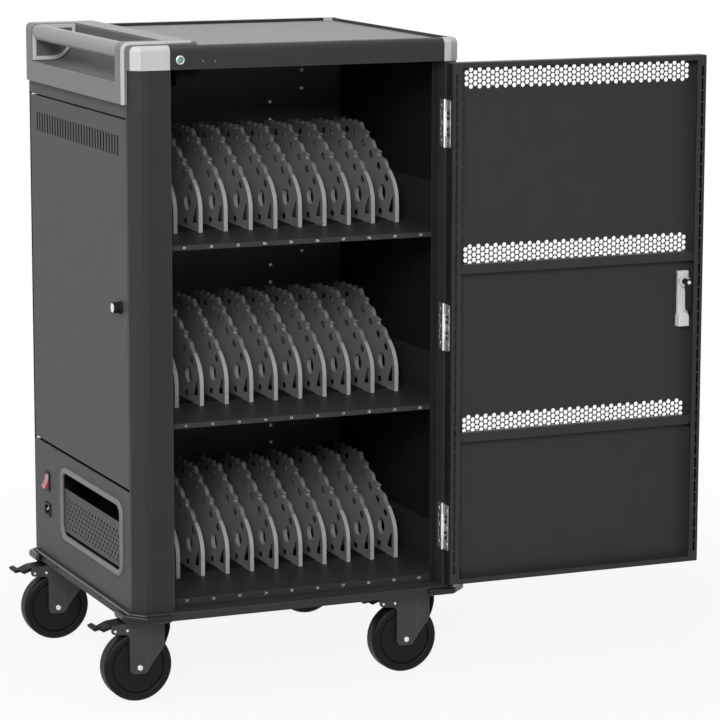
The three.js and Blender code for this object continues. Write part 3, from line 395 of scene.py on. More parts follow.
# polyester powder baked on steel sheet: a satin film with a soft orange peel and faint mottling
def powderCoat(name, colour, rough, shine=0.3, peel=3.0, mottle=45.0):
    made, tree = newFinish(name)
    place = addNode(tree, "ShaderNodeTexCoord").outputs["Object"]
    skin = addNode(tree, "ShaderNodeTexNoise", {"Scale": 1000 / peel, "Detail": 3.0, "Roughness": 0.6},
                   {"Vector": place})
    cloud = addNode(tree, "ShaderNodeTexNoise", {"Scale": 1000 / mottle, "Detail": 4.0}, {"Vector": place})
    tone = addNode(tree, "ShaderNodeMix", {"data_type": "RGBA"}, {"Factor": cloud.outputs["Fac"]})
    tone.inputs[6].default_value = shadeOf(colour, 0.88)
    tone.inputs[7].default_value = shadeOf(colour, 1.12)
    gloss = addNode(tree, "ShaderNodeMapRange", {"To Min": rough - 0.07, "To Max": rough + 0.07},
                    {"Value": skin.outputs["Fac"]})
    peelBump = addNode(tree, "ShaderNodeBump", {"Strength": 0.12, "Distance": 0.0003},
                       {"Height": skin.outputs["Fac"]})
    shader = addNode(tree, "ShaderNodeBsdfPrincipled", {"IOR": 1.5, "Specular IOR Level": shine},
                     {"Base Color": tone.outputs[2], "Roughness": gloss.outputs["Result"],
                      "Normal": peelBump.outputs["Normal"]})
    addNode(tree, "ShaderNodeOutputMaterial", None, {"Surface": shader.outputs[0]})
    return made


# thermoplastic moulded in a spark-eroded tool: even colour, a fine pebble grain and a low sheen
def mouldedPlastic(name, colour, rough, shine=0.4, grain=1.2, depth=0.1, ribs=0.0):
    made, tree = newFinish(name)
    place = addNode(tree, "ShaderNodeTexCoord").outputs["Object"]
    pebble = addNode(tree, "ShaderNodeTexVoronoi", {"Scale": 1000 / grain, "feature": "SMOOTH_F1"},
                     {"Vector": place})
    flow = addNode(tree, "ShaderNodeTexNoise", {"Scale": 1000 / 70.0, "Detail": 3.0}, {"Vector": place})
    tone = addNode(tree, "ShaderNodeMix", {"data_type": "RGBA"}, {"Factor": flow.outputs["Fac"]})
    tone.inputs[6].default_value = shadeOf(colour, 0.93)
    tone.inputs[7].default_value = shadeOf(colour, 1.07)
    gloss = addNode(tree, "ShaderNodeMapRange", {"To Min": rough - 0.06, "To Max": rough + 0.06},
                    {"Value": flow.outputs["Fac"]})
    bump = addNode(tree, "ShaderNodeBump", {"Strength": depth, "Distance": 0.0002},
                   {"Height": pebble.outputs["Distance"]})
    if ribs:  # upright mould ribs, drawn at their real pitch along the depth of the cart
        comb = addNode(tree, "ShaderNodeTexWave", {"bands_direction": "Y", "Scale": 314.16 / ribs},
                       {"Vector": place})
        bump = addNode(tree, "ShaderNodeBump", {"Strength": 0.35, "Distance": 0.0006},
                       {"Height": comb.outputs["Fac"], "Normal": bump.outputs["Normal"]})
    shader = addNode(tree, "ShaderNodeBsdfPrincipled", {"IOR": 1.49, "Specular IOR Level": shine},
                     {"Base Color": tone.outputs[2], "Roughness": gloss.outputs["Result"],
                      "Normal": bump.outputs["Normal"]})
    addNode(tree, "ShaderNodeOutputMaterial", None, {"Surface": shader.outputs[0]})
    return made


# bright zinc plating on rolled steel: metallic, slightly clouded, with drawn streaks
def zincPlate(name, colour, rough):
    made, tree = newFinish(name)
    place = addNode(tree, "ShaderNodeTexCoord").outputs["Object"]
    drawn = addNode(tree, "ShaderNodeMapping", {"Scale": (1, 1, 0.12)}, {"Vector": place})
    streak = addNode(tree, "ShaderNodeTexNoise", {"Scale": 1000 / 0.8, "Detail": 2.0},
                     {"Vector": drawn.outputs["Vector"]})
    cloud = addNode(tree, "ShaderNodeTexNoise", {"Scale": 1000 / 9.0, "Detail": 3.0}, {"Vector": place})
    tone = addNode(tree, "ShaderNodeMix", {"data_type": "RGBA"}, {"Factor": cloud.outputs["Fac"]})
    tone.inputs[6].default_value = shadeOf(colour, 0.86)
    tone.inputs[7].default_value = shadeOf(colour, 1.1)
    gloss = addNode(tree, "ShaderNodeMapRange", {"To Min": rough - 0.08, "To Max": rough + 0.12},
                    {"Value": streak.outputs["Fac"]})
    bump = addNode(tree, "ShaderNodeBump", {"Strength": 0.06, "Distance": 0.0001},
                   {"Height": streak.outputs["Fac"]})
    shader = addNode(tree, "ShaderNodeBsdfPrincipled", {"Metallic": 1.0},
                     {"Base Color": tone.outputs[2], "Roughness": gloss.outputs["Result"],
                      "Normal": bump.outputs["Normal"]})
    addNode(tree, "ShaderNodeOutputMaterial", None, {"Surface": shader.outputs[0]})
    return made


# clear-coloured polycarbonate: glossy, with a painted glow (emission) standing in for light passing under the surface
def clearCap(name, colour, glow):
    made, tree = newFinish(name)
    place = addNode(tree, "ShaderNodeTexCoord").outputs["Object"]
    flow = addNode(tree, "ShaderNodeTexNoise", {"Scale": 1000 / 4.0, "Detail": 2.0}, {"Vector": place})
    tone = addNode(tree, "ShaderNodeMix", {"data_type": "RGBA"}, {"Factor": flow.outputs["Fac"]})
    tone.inputs[6].default_value = shadeOf(colour, 0.85)
    tone.inputs[7].default_value = shadeOf(colour, 1.15)
    shader = addNode(tree, "ShaderNodeBsdfPrincipled",
                     {"IOR": 1.58, "Roughness": 0.22, "Coat Weight": 0.4, "Emission Color": tint(colour),
                      "Emission Strength": glow},
                     {"Base Color": tone.outputs[2]})
    addNode(tree, "ShaderNodeOutputMaterial", None, {"Surface": shader.outputs[0]})
    return made


finishes = {
    "dark_paint": powderCoat("Powder-coated steel, anthracite", "#323436", 0.5, shine=0.18),
    # two-tone paint, with the slate grey set lighter than the anthracite as painted light falling on the left side
    "side_paint": powderCoat("Powder-coated steel, slate grey with painted side light", "#4c4c4c", 0.52, shine=0.16),
    "black_paint": powderCoat("Powder-coated steel, matt black", "#1e1e1f", 0.55, shine=0.12),
    "fork_paint": powderCoat("Dip-painted pressed steel, black", "#353536", 0.26, shine=0.4, peel=2.0),
    "top_paint": powderCoat("Powder-coated steel, light grey", "#808080", 0.5, shine=0.12),
    "grey_plastic": mouldedPlastic("Moulded ABS, mid grey", "#747575", 0.42, shine=0.25),
    "pale_plastic": mouldedPlastic("Moulded ABS, pale grey", "#c6c6c6", 0.42, shine=0.25),
    "divider_plastic": mouldedPlastic("Moulded polypropylene, grey", "#88898c", 0.58, shine=0.2, ribs=7.0),
    "black_plastic": mouldedPlastic("Moulded nylon, black", "#171719", 0.48, shine=0.18),
    "wheel_rubber": mouldedPlastic("Moulded rubber, black", "#131315", 0.46, shine=0.16, grain=1.8, depth=0.12),
    "zinc": zincPlate("Zinc-plated steel, bright", "#e6e7e8", 0.4),
    "red_plastic": clearCap("Polycarbonate, clear red", "#a8464e", 0.0),
    # the green lens glows a little: painted light, as it is no lamp
    "green_lens": clearCap("Polycarbonate, clear green", "#5f9a7d", 0.03),
}
# painted shade: a deep black laid on hollows, holes, gaps and inner faces where only shade falls
paintedShadeBlack = powderCoat("Painted shade, deep matt black", "#111112", 0.8, shine=0.05)
shelfBlack = powderCoat("Powder-coated steel, satin black", "#2e2e2f", 0.5, shine=0.3)
# painted light: a lighter copy of the black paint, standing in for light reaching the back wall inside the shelves
backWallPaintedLight = powderCoat("Powder-coated steel, black, painted light on the back wall", "#4a4a4b", 0.55, shine=0.2)
fasciaDark = powderCoat("Powder-coated steel, anthracite satin", "#27282b", 0.38, shine=0.32)
# painted highlight: a lighter grey standing in for the light caught by raised frames and rolled edges
paintedHighlightGrey = powderCoat("Powder-coated steel, painted highlight grey", "#777777", 0.42, shine=0.28)
discBlack = mouldedPlastic("Moulded nylon, dark grey", "#1b1b1d", 0.5, shine=0.12)
padBlack = mouldedPlastic("Moulded rubber, gloss black", "#131315", 0.3, shine=0.35)
# painted light: a lighter copy of the handle's grey plastic, for the light along the grip bar
barPaintedLightGrey = mouldedPlastic("Moulded ABS, grey, painted light on the grip bar", "#909191", 0.4, shine=0.25)
# painted shade: a darker copy of the handle's grey for the trough, also rougher and with less sheen
troughShadeGrey = mouldedPlastic("Moulded ABS, rougher, painted shade in the trough", "#616262", 0.55, shine=0.12)
# painted highlight: a lighter grey for the fins' front and top edges
finEdgeHighlight = mouldedPlastic("Moulded polypropylene, grey, painted edge highlight", "#b4b5b8", 0.5, shine=0.35)
lockWhite = mouldedPlastic("Die-cast zinc, white lacquer", "#e4e4e4", 0.36)
inkWhite = mouldedPlastic("Screen-printed ink, white", "#e4e4e4", 0.6, grain=0.6, depth=0.05)
for subpart in frame["record"]["subparts"]:  # CAD nodes that stay get the finish of their slot
    node = frame["nodes"].get(subpart.get("node", subpart.get("name")))
    slotName = subpart.get("material_slot", subpart.get("slot"))
    if node and slotName in finishes:
        node.data.materials.clear()
        node.data.materials.append(finishes[slotName])
print("finishes ready")


# base tray and its corner bumpers
tray = {"halfX": 300.5, "halfY": 281, "chamfer": 24, "low": 143.711, "high": 157.711, "sheet": 1.5, "bend": 2.6,
        "screws": ((127, 152.6), (-111, 152.6))}
bumper = {"thick": 10, "arm": 68, "low": 143.711, "high": 156.211, "gap": 0.3, "round": 4.2}
places = (("front_left", -1, -1), ("front_right", 1, -1), ("rear_left", -1, 1), ("rear_right", 1, 1))


def makeTray():
    hx, hy, c = tray["halfX"], tray["halfY"], tray["chamfer"]
    corners = [(hx, hy - c), (hx - c, hy), (c - hx, hy), (-hx, hy - c),
               (-hx, c - hy), (c - hx, -hy), (hx - c, -hy), (hx, c - hy)]
    pan = addShape("z", corners, tray["low"], tray["high"])
    roundEdges(pan, tray["bend"], 4, lambda a, b: min(a.z, b.z) > tray["high"] - 0.1)
    sink(pan, lambda p, n: n.z < -0.9, tray["sheet"], tray["high"] - tray["low"] - tray["sheet"])
    settle(soften(pan), "tray_pan", "cabinet", "dark_paint", finishes["dark_paint"], "base_tray")
    # painted highlight: the tray's left rolled top edge is a lighter grey
    recolour(pan, paintedHighlightGrey, lambda p, n: n.x < -0.5 and n.z > 0.35)
    first = screwHead("x", -hx, *tray["screws"][0], 2.4, -1)
    heads = [copyOf(first, 0, y - tray["screws"][0][0], 0) for y, z in tray["screws"]]
    bpy.data.objects.remove(first)
    settle(joined(*heads), "tray_screws", "cabinet", "zinc", finishes["black_plastic"])
    inX, inY = hx + bumper["gap"], hy + bumper["gap"]
    inC = c + bumper["gap"] * (math.sqrt(2) - 1)
    outX, outY = inX + bumper["thick"], inY + bumper["thick"]
    outC = inC + bumper["thick"] * (2 - math.sqrt(2))
    strip = [(inX, inY - bumper["arm"]), (inX, inY - inC), (inX - inC, inY), (inX - bumper["arm"], inY),
             (inX - bumper["arm"], outY), (outX - outC, outY), (outX, outY - outC), (outX, inY - bumper["arm"])]
    for place, signX, signY in places:
        pad = addShape("z", [(signX * x, signY * y) for x, y in strip], bumper["low"], bumper["high"])
        soften(pad, bumper["round"], 4)
        settle(pad, "bumper_pad_" + place, "cabinet", "black_plastic", padBlack, "bumper_" + place)


# sheet steel that keeps the CAD shape, with its folds eased
sheets = {  # node: fold radius in mm
    "front_left_post": 0.5, "hinge_post": 0.5, "right_side_panel": 0.5, "rear_panel": 0.5,
    "inner_back_wall": 0.4, "inner_left_wall": 0.4, "shelf_1": 0.5, "shelf_2": 0.5, "shelf_3": 0.5,
}


flute = {"x": (-274, -225.2), "y": -273, "z": (157.8, 1057.9), "first": -261, "pitch": 3.65, "count": 10, "half": 0.85, "deep": 0.7}


def fluteFace(post):
    # the post's coarse grooves are filled and cut again as fine ones
    p = flute
    weld(post, addBox(p["x"], (p["y"], p["y"] + 1.2), p["z"]))
    groove = addShape("z", [(p["first"] - p["half"], p["y"] - 0.1), (p["first"] + p["half"], p["y"] - 0.1),
                            (p["first"], p["y"] + p["deep"])], p["z"][0] - 5, p["z"][1] + 5)
    cutAway(post, repeat(groove, p["count"], dx=p["pitch"]))


def makeSheets():
    slotOf = {s["node"]: s["material_slot"] for s in frame["record"]["subparts"]}
    for node, fold in sheets.items():
        piece = nodeCopy(node)
        if node == "front_left_post":
            fluteFace(piece)
        soften(piece, fold, 2)
        finish = shelfBlack if node.startswith("shelf") else finishes[slotOf[node]]
        settle(piece, node + "_sheet", "cabinet", slotOf[node], finish, node)
        if node == "right_side_panel":
            # painted shade: the panel's inner face is black, for the shade inside the cabinet
            recolour(piece, finishes["black_paint"], lambda p, n: n.x < -0.5)
        if node == "inner_back_wall":
            # painted light: the wall's front face takes a lighter copy of the black paint
            recolour(piece, backWallPaintedLight, lambda p, n: n.y < -0.5)
        if node == "hinge_post":
            # painted shade: the post's recessed front faces beside the door are black, for the shade in the gap
            recolour(piece, finishes["black_paint"], lambda p, n: n.y < -0.9 and p.y > -260)
        if node == "rear_panel":
            # painted shade: the rear panel's inner face is black, for the shade inside the cabinet
            recolour(piece, finishes["black_paint"], lambda p, n: n.y < -0.5)


# lower left panel: window for the cable pocket, raised frame, perforated plate behind
lowerPanel = {
    "x": (-292.5, -291), "y": (-248.7, 271.2), "z": (158.011, 360.211), "flange": -270.5,
    "window": (-202.7, 108.2, 216.011, 327.211), "corner": 16, "bead": 10, "beadHigh": 4, "beadRound": 3.4,
    "switch": (198.2, 293.211), "inletDrop": 51,
}
pocket = {
    "x": (-290.7, -240.7), "y": (-206.7, 112.2), "z": (212.011, 331.211), "slotLow": 298.211, "sheet": 1.5,
    "plateLow": 220.7, "plate": 0.7, "hole": 5.4, "stepY": 16.02, "stepZ": 16.14, "columns": 17, "rows": 4,
    "firstY": -174.0, "firstZ": 231.6,
}


def makeLowerPanel():
    p = lowerPanel
    u0, u1, v0, v1 = p["window"]
    p0, p1 = p["x"][0], p["z"][1] - 1
    panel = addBox(p["x"], p["y"], p["z"])
    lip = addBox((p["x"][0], p["flange"]), p["y"], (p["z"][1] - 1.5, p["z"][1]))
    weld(panel, lip)
    roundEdges(panel, 0.7, 3, lambda a, b: max(a.x, b.x) < p["x"][0] + 0.1)
    sy, sz = p["switch"]
    through = (p["x"][0] - 5, p["x"][1] + 5)
    cutAway(
        panel,
        addShape("x", roundRect(u0, u1, v0, v1, p["corner"]), *through),
        addBox(through, (sy - 11, sy + 11), (sz - 15, sz + 15)),
        addBox(through, (sy - 13.5, sy + 13.5), (sz - p["inletDrop"] - 10.1, sz - p["inletDrop"] + 10.1)),
    )
    settle(soften(panel), "lower_panel", "cabinet", "side_paint", finishes["side_paint"], "left_lower_panel")
    # painted shade: the flange's top face in the gap under the service door is black
    recolour(panel, paintedShadeBlack, lambda p, n: n.z > 0.9 and p.x > p0 + 1 and p.z > p1)
    b = p["bead"]
    bead = addShape("x", roundRect(u0 - b, u1 + b, v0 - b, v1 + b, p["corner"] + b),
                    p["x"][0] - p["beadHigh"], p["x"][0] + 0.05)
    cutAway(bead, addShape("x", roundRect(u0, u1, v0, v1, p["corner"]), p["x"][0] - 9, p["x"][0] + 9))
    roundEdges(bead, p["beadRound"], 4,
               lambda a, b: max(a.x, b.x) < p["x"][0] - p["beadHigh"] + 0.1)
    # painted highlight: the raised frame is a lighter grey than the panel it is pressed from
    settle(soften(bead), "pocket_frame", "cabinet", "side_paint", paintedHighlightGrey)


def makePocket():
    p = pocket
    tub = addBox(p["x"], p["y"], p["z"])
    sink(tub, lambda c, n: n.x < -0.9, p["sheet"], p["x"][1] - p["x"][0] - p["sheet"])
    # painted shade: the whole pocket tub is deep black
    settle(soften(tub, 0.4, 2), "pocket_tub", "cabinet", "side_paint", paintedShadeBlack, "cable_pocket")
    # a lozenge of sheet round each hole; two sets of rows, half a step apart
    half, stepY, stepZ = p["hole"] / 2, p["stepY"], p["stepZ"]
    plate = None
    for shift, columns, rows in ((0, p["columns"], p["rows"]), (1, p["columns"] + 1, p["rows"] - 1)):
        firstY = p["firstY"] - shift * stepY / 2
        firstZ = p["firstZ"] + shift * stepZ / 2
        tile = holeTile("x", p["x"][0], firstY, firstZ, half, [
            (stepY / 2, 0), (stepY / 4, stepZ / 4), (0, stepZ / 2), (-stepY / 4, stepZ / 4),
            (-stepY / 2, 0), (-stepY / 4, -stepZ / 4), (0, -stepZ / 2), (stepY / 4, -stepZ / 4)])
        repeat(tile, columns, dy=stepY)
        repeat(tile, rows, dz=stepZ)
        plate = joined(plate, tile) if plate else tile
    edge = addLoop("x", p["x"][0], p["y"][0] + 1.6, p["y"][1] - 1.6, p["plateLow"], p["slotLow"])
    plate = fillSheet(joined(plate, edge), 3, Vector((-1, 0, 0)), p["plate"])
    settle(soften(plate), "pocket_plate", "cabinet", "side_paint", finishes["side_paint"])
    # painted shade: the walls of the perforations are black
    recolour(plate, paintedShadeBlack, lambda q, n: abs(n.x) < 0.5 and q.z < p["slotLow"] - 1)


def holeTile(axis, along, u, v, radius, rim):
    # the rim of a hole, extruded outwards to the edge of its own tile
    dropSelection()
    count = len(rim)
    bpy.ops.mesh.primitive_circle_add(vertices=count, fill_type="NOTHING")
    tile = applyPlace(bpy.context.object)
    turn = [2 * math.pi * k / count for k in range(count)]
    for vertex, a in zip(tile.data.vertices, turn):
        vertex.co = onAxis(axis, u + radius * math.cos(a), v + radius * math.sin(a), along)
    inner = [vertex.co.copy() for vertex in tile.data.vertices]
    bpy.ops.object.mode_set(mode="EDIT")
    bpy.ops.mesh.select_all(action="SELECT")
    bpy.ops.mesh.extrude_edges_move()
    bpy.ops.object.mode_set(mode="OBJECT")
    for vertex in list(tile.data.vertices)[count:]:
        k = min(range(count), key=lambda i: (inner[i] - vertex.co).length)
        vertex.co = onAxis(axis, u + rim[k][0], v + rim[k][1], along)
    return tile


def addLoop(axis, along, u0, u1, v0, v1):
    # four edges and no face, the rim of a sheet or of a hole in it
    dropSelection()
    bpy.ops.mesh.primitive_circle_add(vertices=4, fill_type="NOTHING")
    loop = applyPlace(bpy.context.object)
    for vertex, (u, v) in zip(loop.data.vertices, ((u0, v0), (u1, v0), (u1, v1), (u0, v1))):
        vertex.co = onAxis(axis, u, v, along)
    return loop


def fillSheet(piece, longest, outward, thick):
    # fills the sheet between its rim and the tiles' outer edges, then gives it its thickness
    focus(piece)
    bpy.ops.object.mode_set(mode="EDIT")
    bpy.ops.mesh.select_all(action="SELECT")
    bpy.ops.mesh.remove_doubles(threshold=1e-5)
    bpy.ops.object.mode_set(mode="OBJECT")
    used = {}
    for face in piece.data.polygons:
        for key in face.edge_keys:
            used[key] = used.get(key, 0) + 1
    openEdges = {e.key for e in piece.data.edges if used.get(e.key, 0) < 2}
    size = {e.key: (piece.data.vertices[e.key[0]].co - piece.data.vertices[e.key[1]].co).length
            for e in piece.data.edges}
    bpy.ops.object.mode_set(mode="EDIT")
    bpy.ops.mesh.select_mode(type="EDGE")
    bpy.ops.mesh.select_all(action="DESELECT")
    bpy.ops.object.mode_set(mode="OBJECT")
    for edge in piece.data.edges:
        edge.select = edge.key in openEdges and size[edge.key] * 1000 > longest
    bpy.ops.object.mode_set(mode="EDIT")
    bpy.ops.mesh.fill(use_beauty=True)
    bpy.ops.mesh.select_all(action="SELECT")
    bpy.ops.mesh.normals_make_consistent(inside=False)
    bpy.ops.object.mode_set(mode="OBJECT")
    if piece.data.polygons[0].normal.dot(outward) < 0:
        bpy.ops.object.mode_set(mode="EDIT")
        bpy.ops.mesh.flip_normals()
        bpy.ops.object.mode_set(mode="OBJECT")
    return modify(piece, "SOLIDIFY", thickness=thick / 1000, offset=-1)


# top frame, plate and corner caps
topParts = {
    "frameLow": 1058.011, "topZ": 1096.711, "front": -273, "rear": 273, "left": -292.5, "right": 292.5,
    "plate": ((-165.4, 280.2), (-257.5, 257.5), (1088.711, 1091.711)), "plateEdge": 1.2,
    "capTop": 1097.211, "capRound": 10.5, "rimRound": 9, "fasciaRound": 13, "capEdge": 0.9, "fasciaLeft": -224.5, "fasciaRight": 262.9,
    "capDepth": 15.2, "capChamfer": 15, "proud": 0.5, "corner": 18,
}
button = {"x": -207, "z": 1073.711, "face": -274.5, "length": 10, "radius": 5, "dome": 1.6}
bezel = ((5.35, -272.8), (7.6, -272.8), (7.6, -273.9), (7.0, -275.0), (6.1, -275.4), (5.35, -274.8))
leds = ((-167.6, 1071.2), (-146.8, 1070.6))


def makeTop():
    t = topParts
    topFrame = nodeCopy("top_frame")
    roundEdges(topFrame, t["rimRound"], 5, lambda a, b: min(a.z, b.z) > t["topZ"] - 0.1 and min(a.x, b.x) > t["right"] - 0.1)
    r = t["fasciaRound"]
    y, z = t["front"] + r, t["topZ"] - r
    corner = [(y, t["topZ"] + 2)] + arc(y, z, r, 90, 180, 10) + [(t["front"] - 2, z), (t["front"] - 2, t["topZ"] + 2)]
    cutAway(topFrame, addShape("x", corner, t["fasciaLeft"] - 5, t["fasciaRight"] + 5))
    soften(topFrame, 0.7, 2)
    settle(topFrame, "top_frame_sheet", "cabinet", "dark_paint", fasciaDark, "top_frame")
    # painted shade: the frame's inner beams and faces behind the fascia are black
    recolour(topFrame, paintedShadeBlack, lambda p, n: t["front"] + t["capDepth"] + 0.2 < p.y < t["rear"] - 2 and n.z < 0.5
            and t["left"] + 3 < p.x < t["fasciaRight"] and p.z < t["topZ"] - 6)
    # painted light: the rail's left-facing faces take the lighter side paint
    recolour(topFrame, finishes["side_paint"], lambda p, n: n.x < -0.5 and p.x < t["left"] + 1 and p.z < t["frameLow"])
    plate = soften(addBox(*t["plate"]), t["plateEdge"])
    settle(plate, "top_plate_sheet", "cabinet", "top_paint", finishes["top_paint"], "top_plate")
    capFront = t["front"] - t["proud"]
    edge = t["front"] + t["capDepth"]
    turned = t["front"] + t["capChamfer"]
    leftCap = [(t["left"] + 3.6, turned - 3.4), (t["left"] + t["corner"], capFront), (t["fasciaLeft"], capFront),
               (t["fasciaLeft"], edge), (t["left"] + 3.6, edge)]
    core = addShape("z", [(t["left"] + 1.6, edge + 3), (t["left"] + 1.6, edge), (t["left"] + 6, edge - 5.4),
                          (t["left"] + 12, edge - 5.4), (t["left"] + 12, edge + 3)], t["frameLow"] + 0.2, t["capTop"] - t["capRound"])
    settle(soften(core, 0.5, 2), "corner_core", "cabinet", "pale_plastic", finishes["grey_plastic"])  # shadow joint beside the handle
    rightCap = [(t["fasciaRight"], capFront), (t["right"] - t["corner"], capFront),
                (t["right"] + t["proud"], turned), (t["right"] + t["proud"], edge), (t["fasciaRight"], edge)]
    rearCap = [(x, -y) for x, y in rightCap]
    for name, points, sign in (("front_left", leftCap, 1), ("front_right", rightCap, 1), ("rear_right", rearCap, -1)):
        cap = addShape("z", points, t["frameLow"], t["capTop"])
        inner = sign * edge
        roundEdges(cap, t["capRound"], 5, lambda a, b: min(a.z, b.z) > t["capTop"] - 0.1
                   and not (abs(a.y - inner) < 0.1 and abs(b.y - inner) < 0.1)
                   and not (abs(a.x - b.x) < 0.1 and a.x > t["fasciaLeft"] - 1 and a.x < t["fasciaRight"] + 1))
        soften(cap, t["capEdge"], 3)
        settle(cap, "corner_cap_" + name, "cabinet", "pale_plastic", finishes["pale_plastic"], "cap_" + name)


def makeButton():
    b = button
    ring = soften(spinShape("y", bezel, b["x"], b["z"]))
    settle(ring, "button_ring", "cabinet", "pale_plastic", finishes["zinc"])
    lens = addRod("y", b["radius"], b["face"], b["face"] + b["length"], b["x"], b["z"], 32)
    roundEdges(lens, b["dome"], 4, lambda p, q: max(p.y, q.y) < b["face"] + 0.1)
    settle(soften(lens), "button_lens", "power_button", "green_lens", finishes["green_lens"], "power_button")
    dots = [addRod("y", 1.5, -273.6, -272.6, x, z, 16, tip=1.1) for x, z in leds]
    for dot in dots:
        sink(dot, lambda p, n: n.y < -0.9, 0.25, -0.2)
    settle(soften(joined(*dots)), "status_leds", "cabinet", "pale_plastic", finishes["grey_plastic"])


# handle: moulded housing with a finger trough, cheeks, grip bar and a pale front trim
handle = {
    "left": -300.5, "inner": -166.0, "top": 1102.3, "skirtLow": 1002.711, "floor": 1037.711,
    "front": -257.5, "rear": 271.2, "skirtWall": 7.5, "under": 1030.011, "ledge": 1088.411,
    "trough": (-219.5, 42.0), "frontCheek": -219.5, "rearCheek": 228.2, "corner": 13, "lip": 3.2,
    "bar": (-299.5, -273.5, 1073.7, 1101.2), "barRound": 12.6, "trim": 8.5, "rib": (0.84, 0.78, 3.2, 1.5),
    "rearRound": 12,
}


def handleOutline(grow=0.0):
    # end view of the whole housing, with its round shoulder over the skirt
    h = handle
    left, top = h["left"] - grow, h["top"] + grow
    return ([(left, h["skirtLow"])]
            + list(reversed(arc(left + h["corner"], top - h["corner"], h["corner"], 90, 180, 8)))
            + [(h["inner"] - 9, top), (h["inner"], h["ledge"] + 3.6)])


def troughSide(steps=14):
    h = handle
    edge, bend = h["trough"]
    rise = h["top"] - 4 - h["floor"]
    return [(edge - bend + bend * math.sin(a), h["top"] - 4 - rise * math.cos(a))
            for a in (math.pi / 2 * i / steps for i in range(steps + 1))]


def makeHandle():
    h = handle
    wall = h["floor"] - h["under"]
    edge, bend = h["trough"]
    rise = h["top"] - 4 - h["floor"] + wall
    ledgeTurn = math.acos((h["top"] - 4 - h["ledge"]) / rise)
    under = [(edge - bend + (bend + wall) * math.sin(ledgeTurn * i / 10),
              h["top"] - 4 - rise * math.cos(ledgeTurn * i / 10)) for i in range(11)]
    section = (handleOutline() + [(h["inner"], h["ledge"])] + list(reversed(under))
               + [(h["left"] + h["skirtWall"], h["under"]), (h["left"] + h["skirtWall"], h["skirtLow"])])
    shell = addShape("y", section, h["front"], h["rear"])
    trough = addShape("y", [(h["left"] - 20, h["floor"])] + troughSide() + [(edge, h["top"] + 20),
                      (h["left"] - 20, h["top"] + 20)], h["frontCheek"], h["rearCheek"])
    cutAway(
        shell, trough,
        addBox((-292.8, -160), (-290, -243.5), (990, 1058.011)),
        addBox((-268.8, -160), (246.7, 290), (990, 1058.011)),
    )
    r = h["rearRound"]
    plan = [(h["inner"] + 1, h["front"] - 1), (h["inner"] + 1, h["rear"])]
    plan += arc(h["left"] + r, h["rear"] - r, r, 90, 180, 8)
    shared(shell, addShape("z", plan + [(h["left"], h["front"] - 1)], h["skirtLow"] - 5, h["top"] + 5))
    soften(shell, h["lip"], 4, 32)
    settle(shell, "handle_shell", "cabinet", "grey_plastic", finishes["grey_plastic"], "handle_housing")
    # painted shade: the undersides and front end inside the skirt are black
    recolour(shell, paintedShadeBlack, lambda p, n: p.x > h["left"] + h["skirtWall"] and p.z < 1058.2
            and (n.z < -0.3 or (p.y < -240 and n.y < -0.5)))
    # painted shade: the trough's faces take the darker, rougher copy of the grey
    recolour(shell, troughShadeGrey, lambda p, n: h["frontCheek"] - 1 < p.y < h["rearCheek"] + 1 and n.x < 0.5
             and h["left"] + 3.4 < p.x < edge + 1 and h["floor"] - 0.5 < p.z < h["top"] - 3)
    x0, x1, z0, z1 = h["bar"]
    bar = addShape("y", roundRect(x0, x1, z0, z1, h["barRound"], 8), h["frontCheek"] + 0.3, h["rearCheek"] - 0.3)
    # painted light: the grip bar is a lighter copy of the housing's grey
    settle(soften(bar), "grip_bar", "cabinet", "grey_plastic", barPaintedLightGrey, "handle_bar")
    # pale ribs that run round the inner edge of each cheek
    ring = [(h["left"] + 1.2, h["floor"] + 1.5)] + [(h["left"] + 1.2, h["top"] - h["corner"])]
    ring += list(reversed(arc(h["left"] + h["corner"], h["top"] - h["corner"], h["corner"] - 1.2, 90, 180, 6)))
    ring += [(edge - 2, h["top"] - 1.2)] + [(x - 1.2, z + 1.5) for x, z in reversed(troughSide(10))]
    middleX, middleZ = h["left"] + 42, h["floor"] + 32
    across, high, out, ease = h["rib"]
    inner = [(middleX + (x - middleX) * across, middleZ + (z - middleZ) * high) for x, z in ring]
    for name, face, way in (("rear", h["rearCheek"], -1), ("front", h["frontCheek"], 1)):
        rib = addShape("y", ring, min(face - 0.4 * way, face + out * way), max(face - 0.4 * way, face + out * way))
        cutAway(rib, addShape("y", inner, face - 9, face + 9))
        soften(rib, ease, 3)
        settle(rib, "cheek_rib_" + name, "cabinet", "pale_plastic", finishes["pale_plastic"])
    inset = list(reversed(arc(h["left"] + h["corner"], h["top"] - h["corner"], h["corner"] - 3.5, 90, 180, 8)))
    band = (handleOutline(0.5)[:-2] + [(h["inner"] - 16, h["top"] + 0.5), (h["inner"] - 16, h["top"] - 2.5)]
            + list(reversed(inset)) + [(h["left"] + 3.5, h["skirtLow"])])
    trim = addShape("y", band, h["front"] - 0.1, h["front"] + h["trim"])
    settle(soften(trim, 0.45, 2), "handle_trim", "cabinet", "pale_plastic", finishes["pale_plastic"])


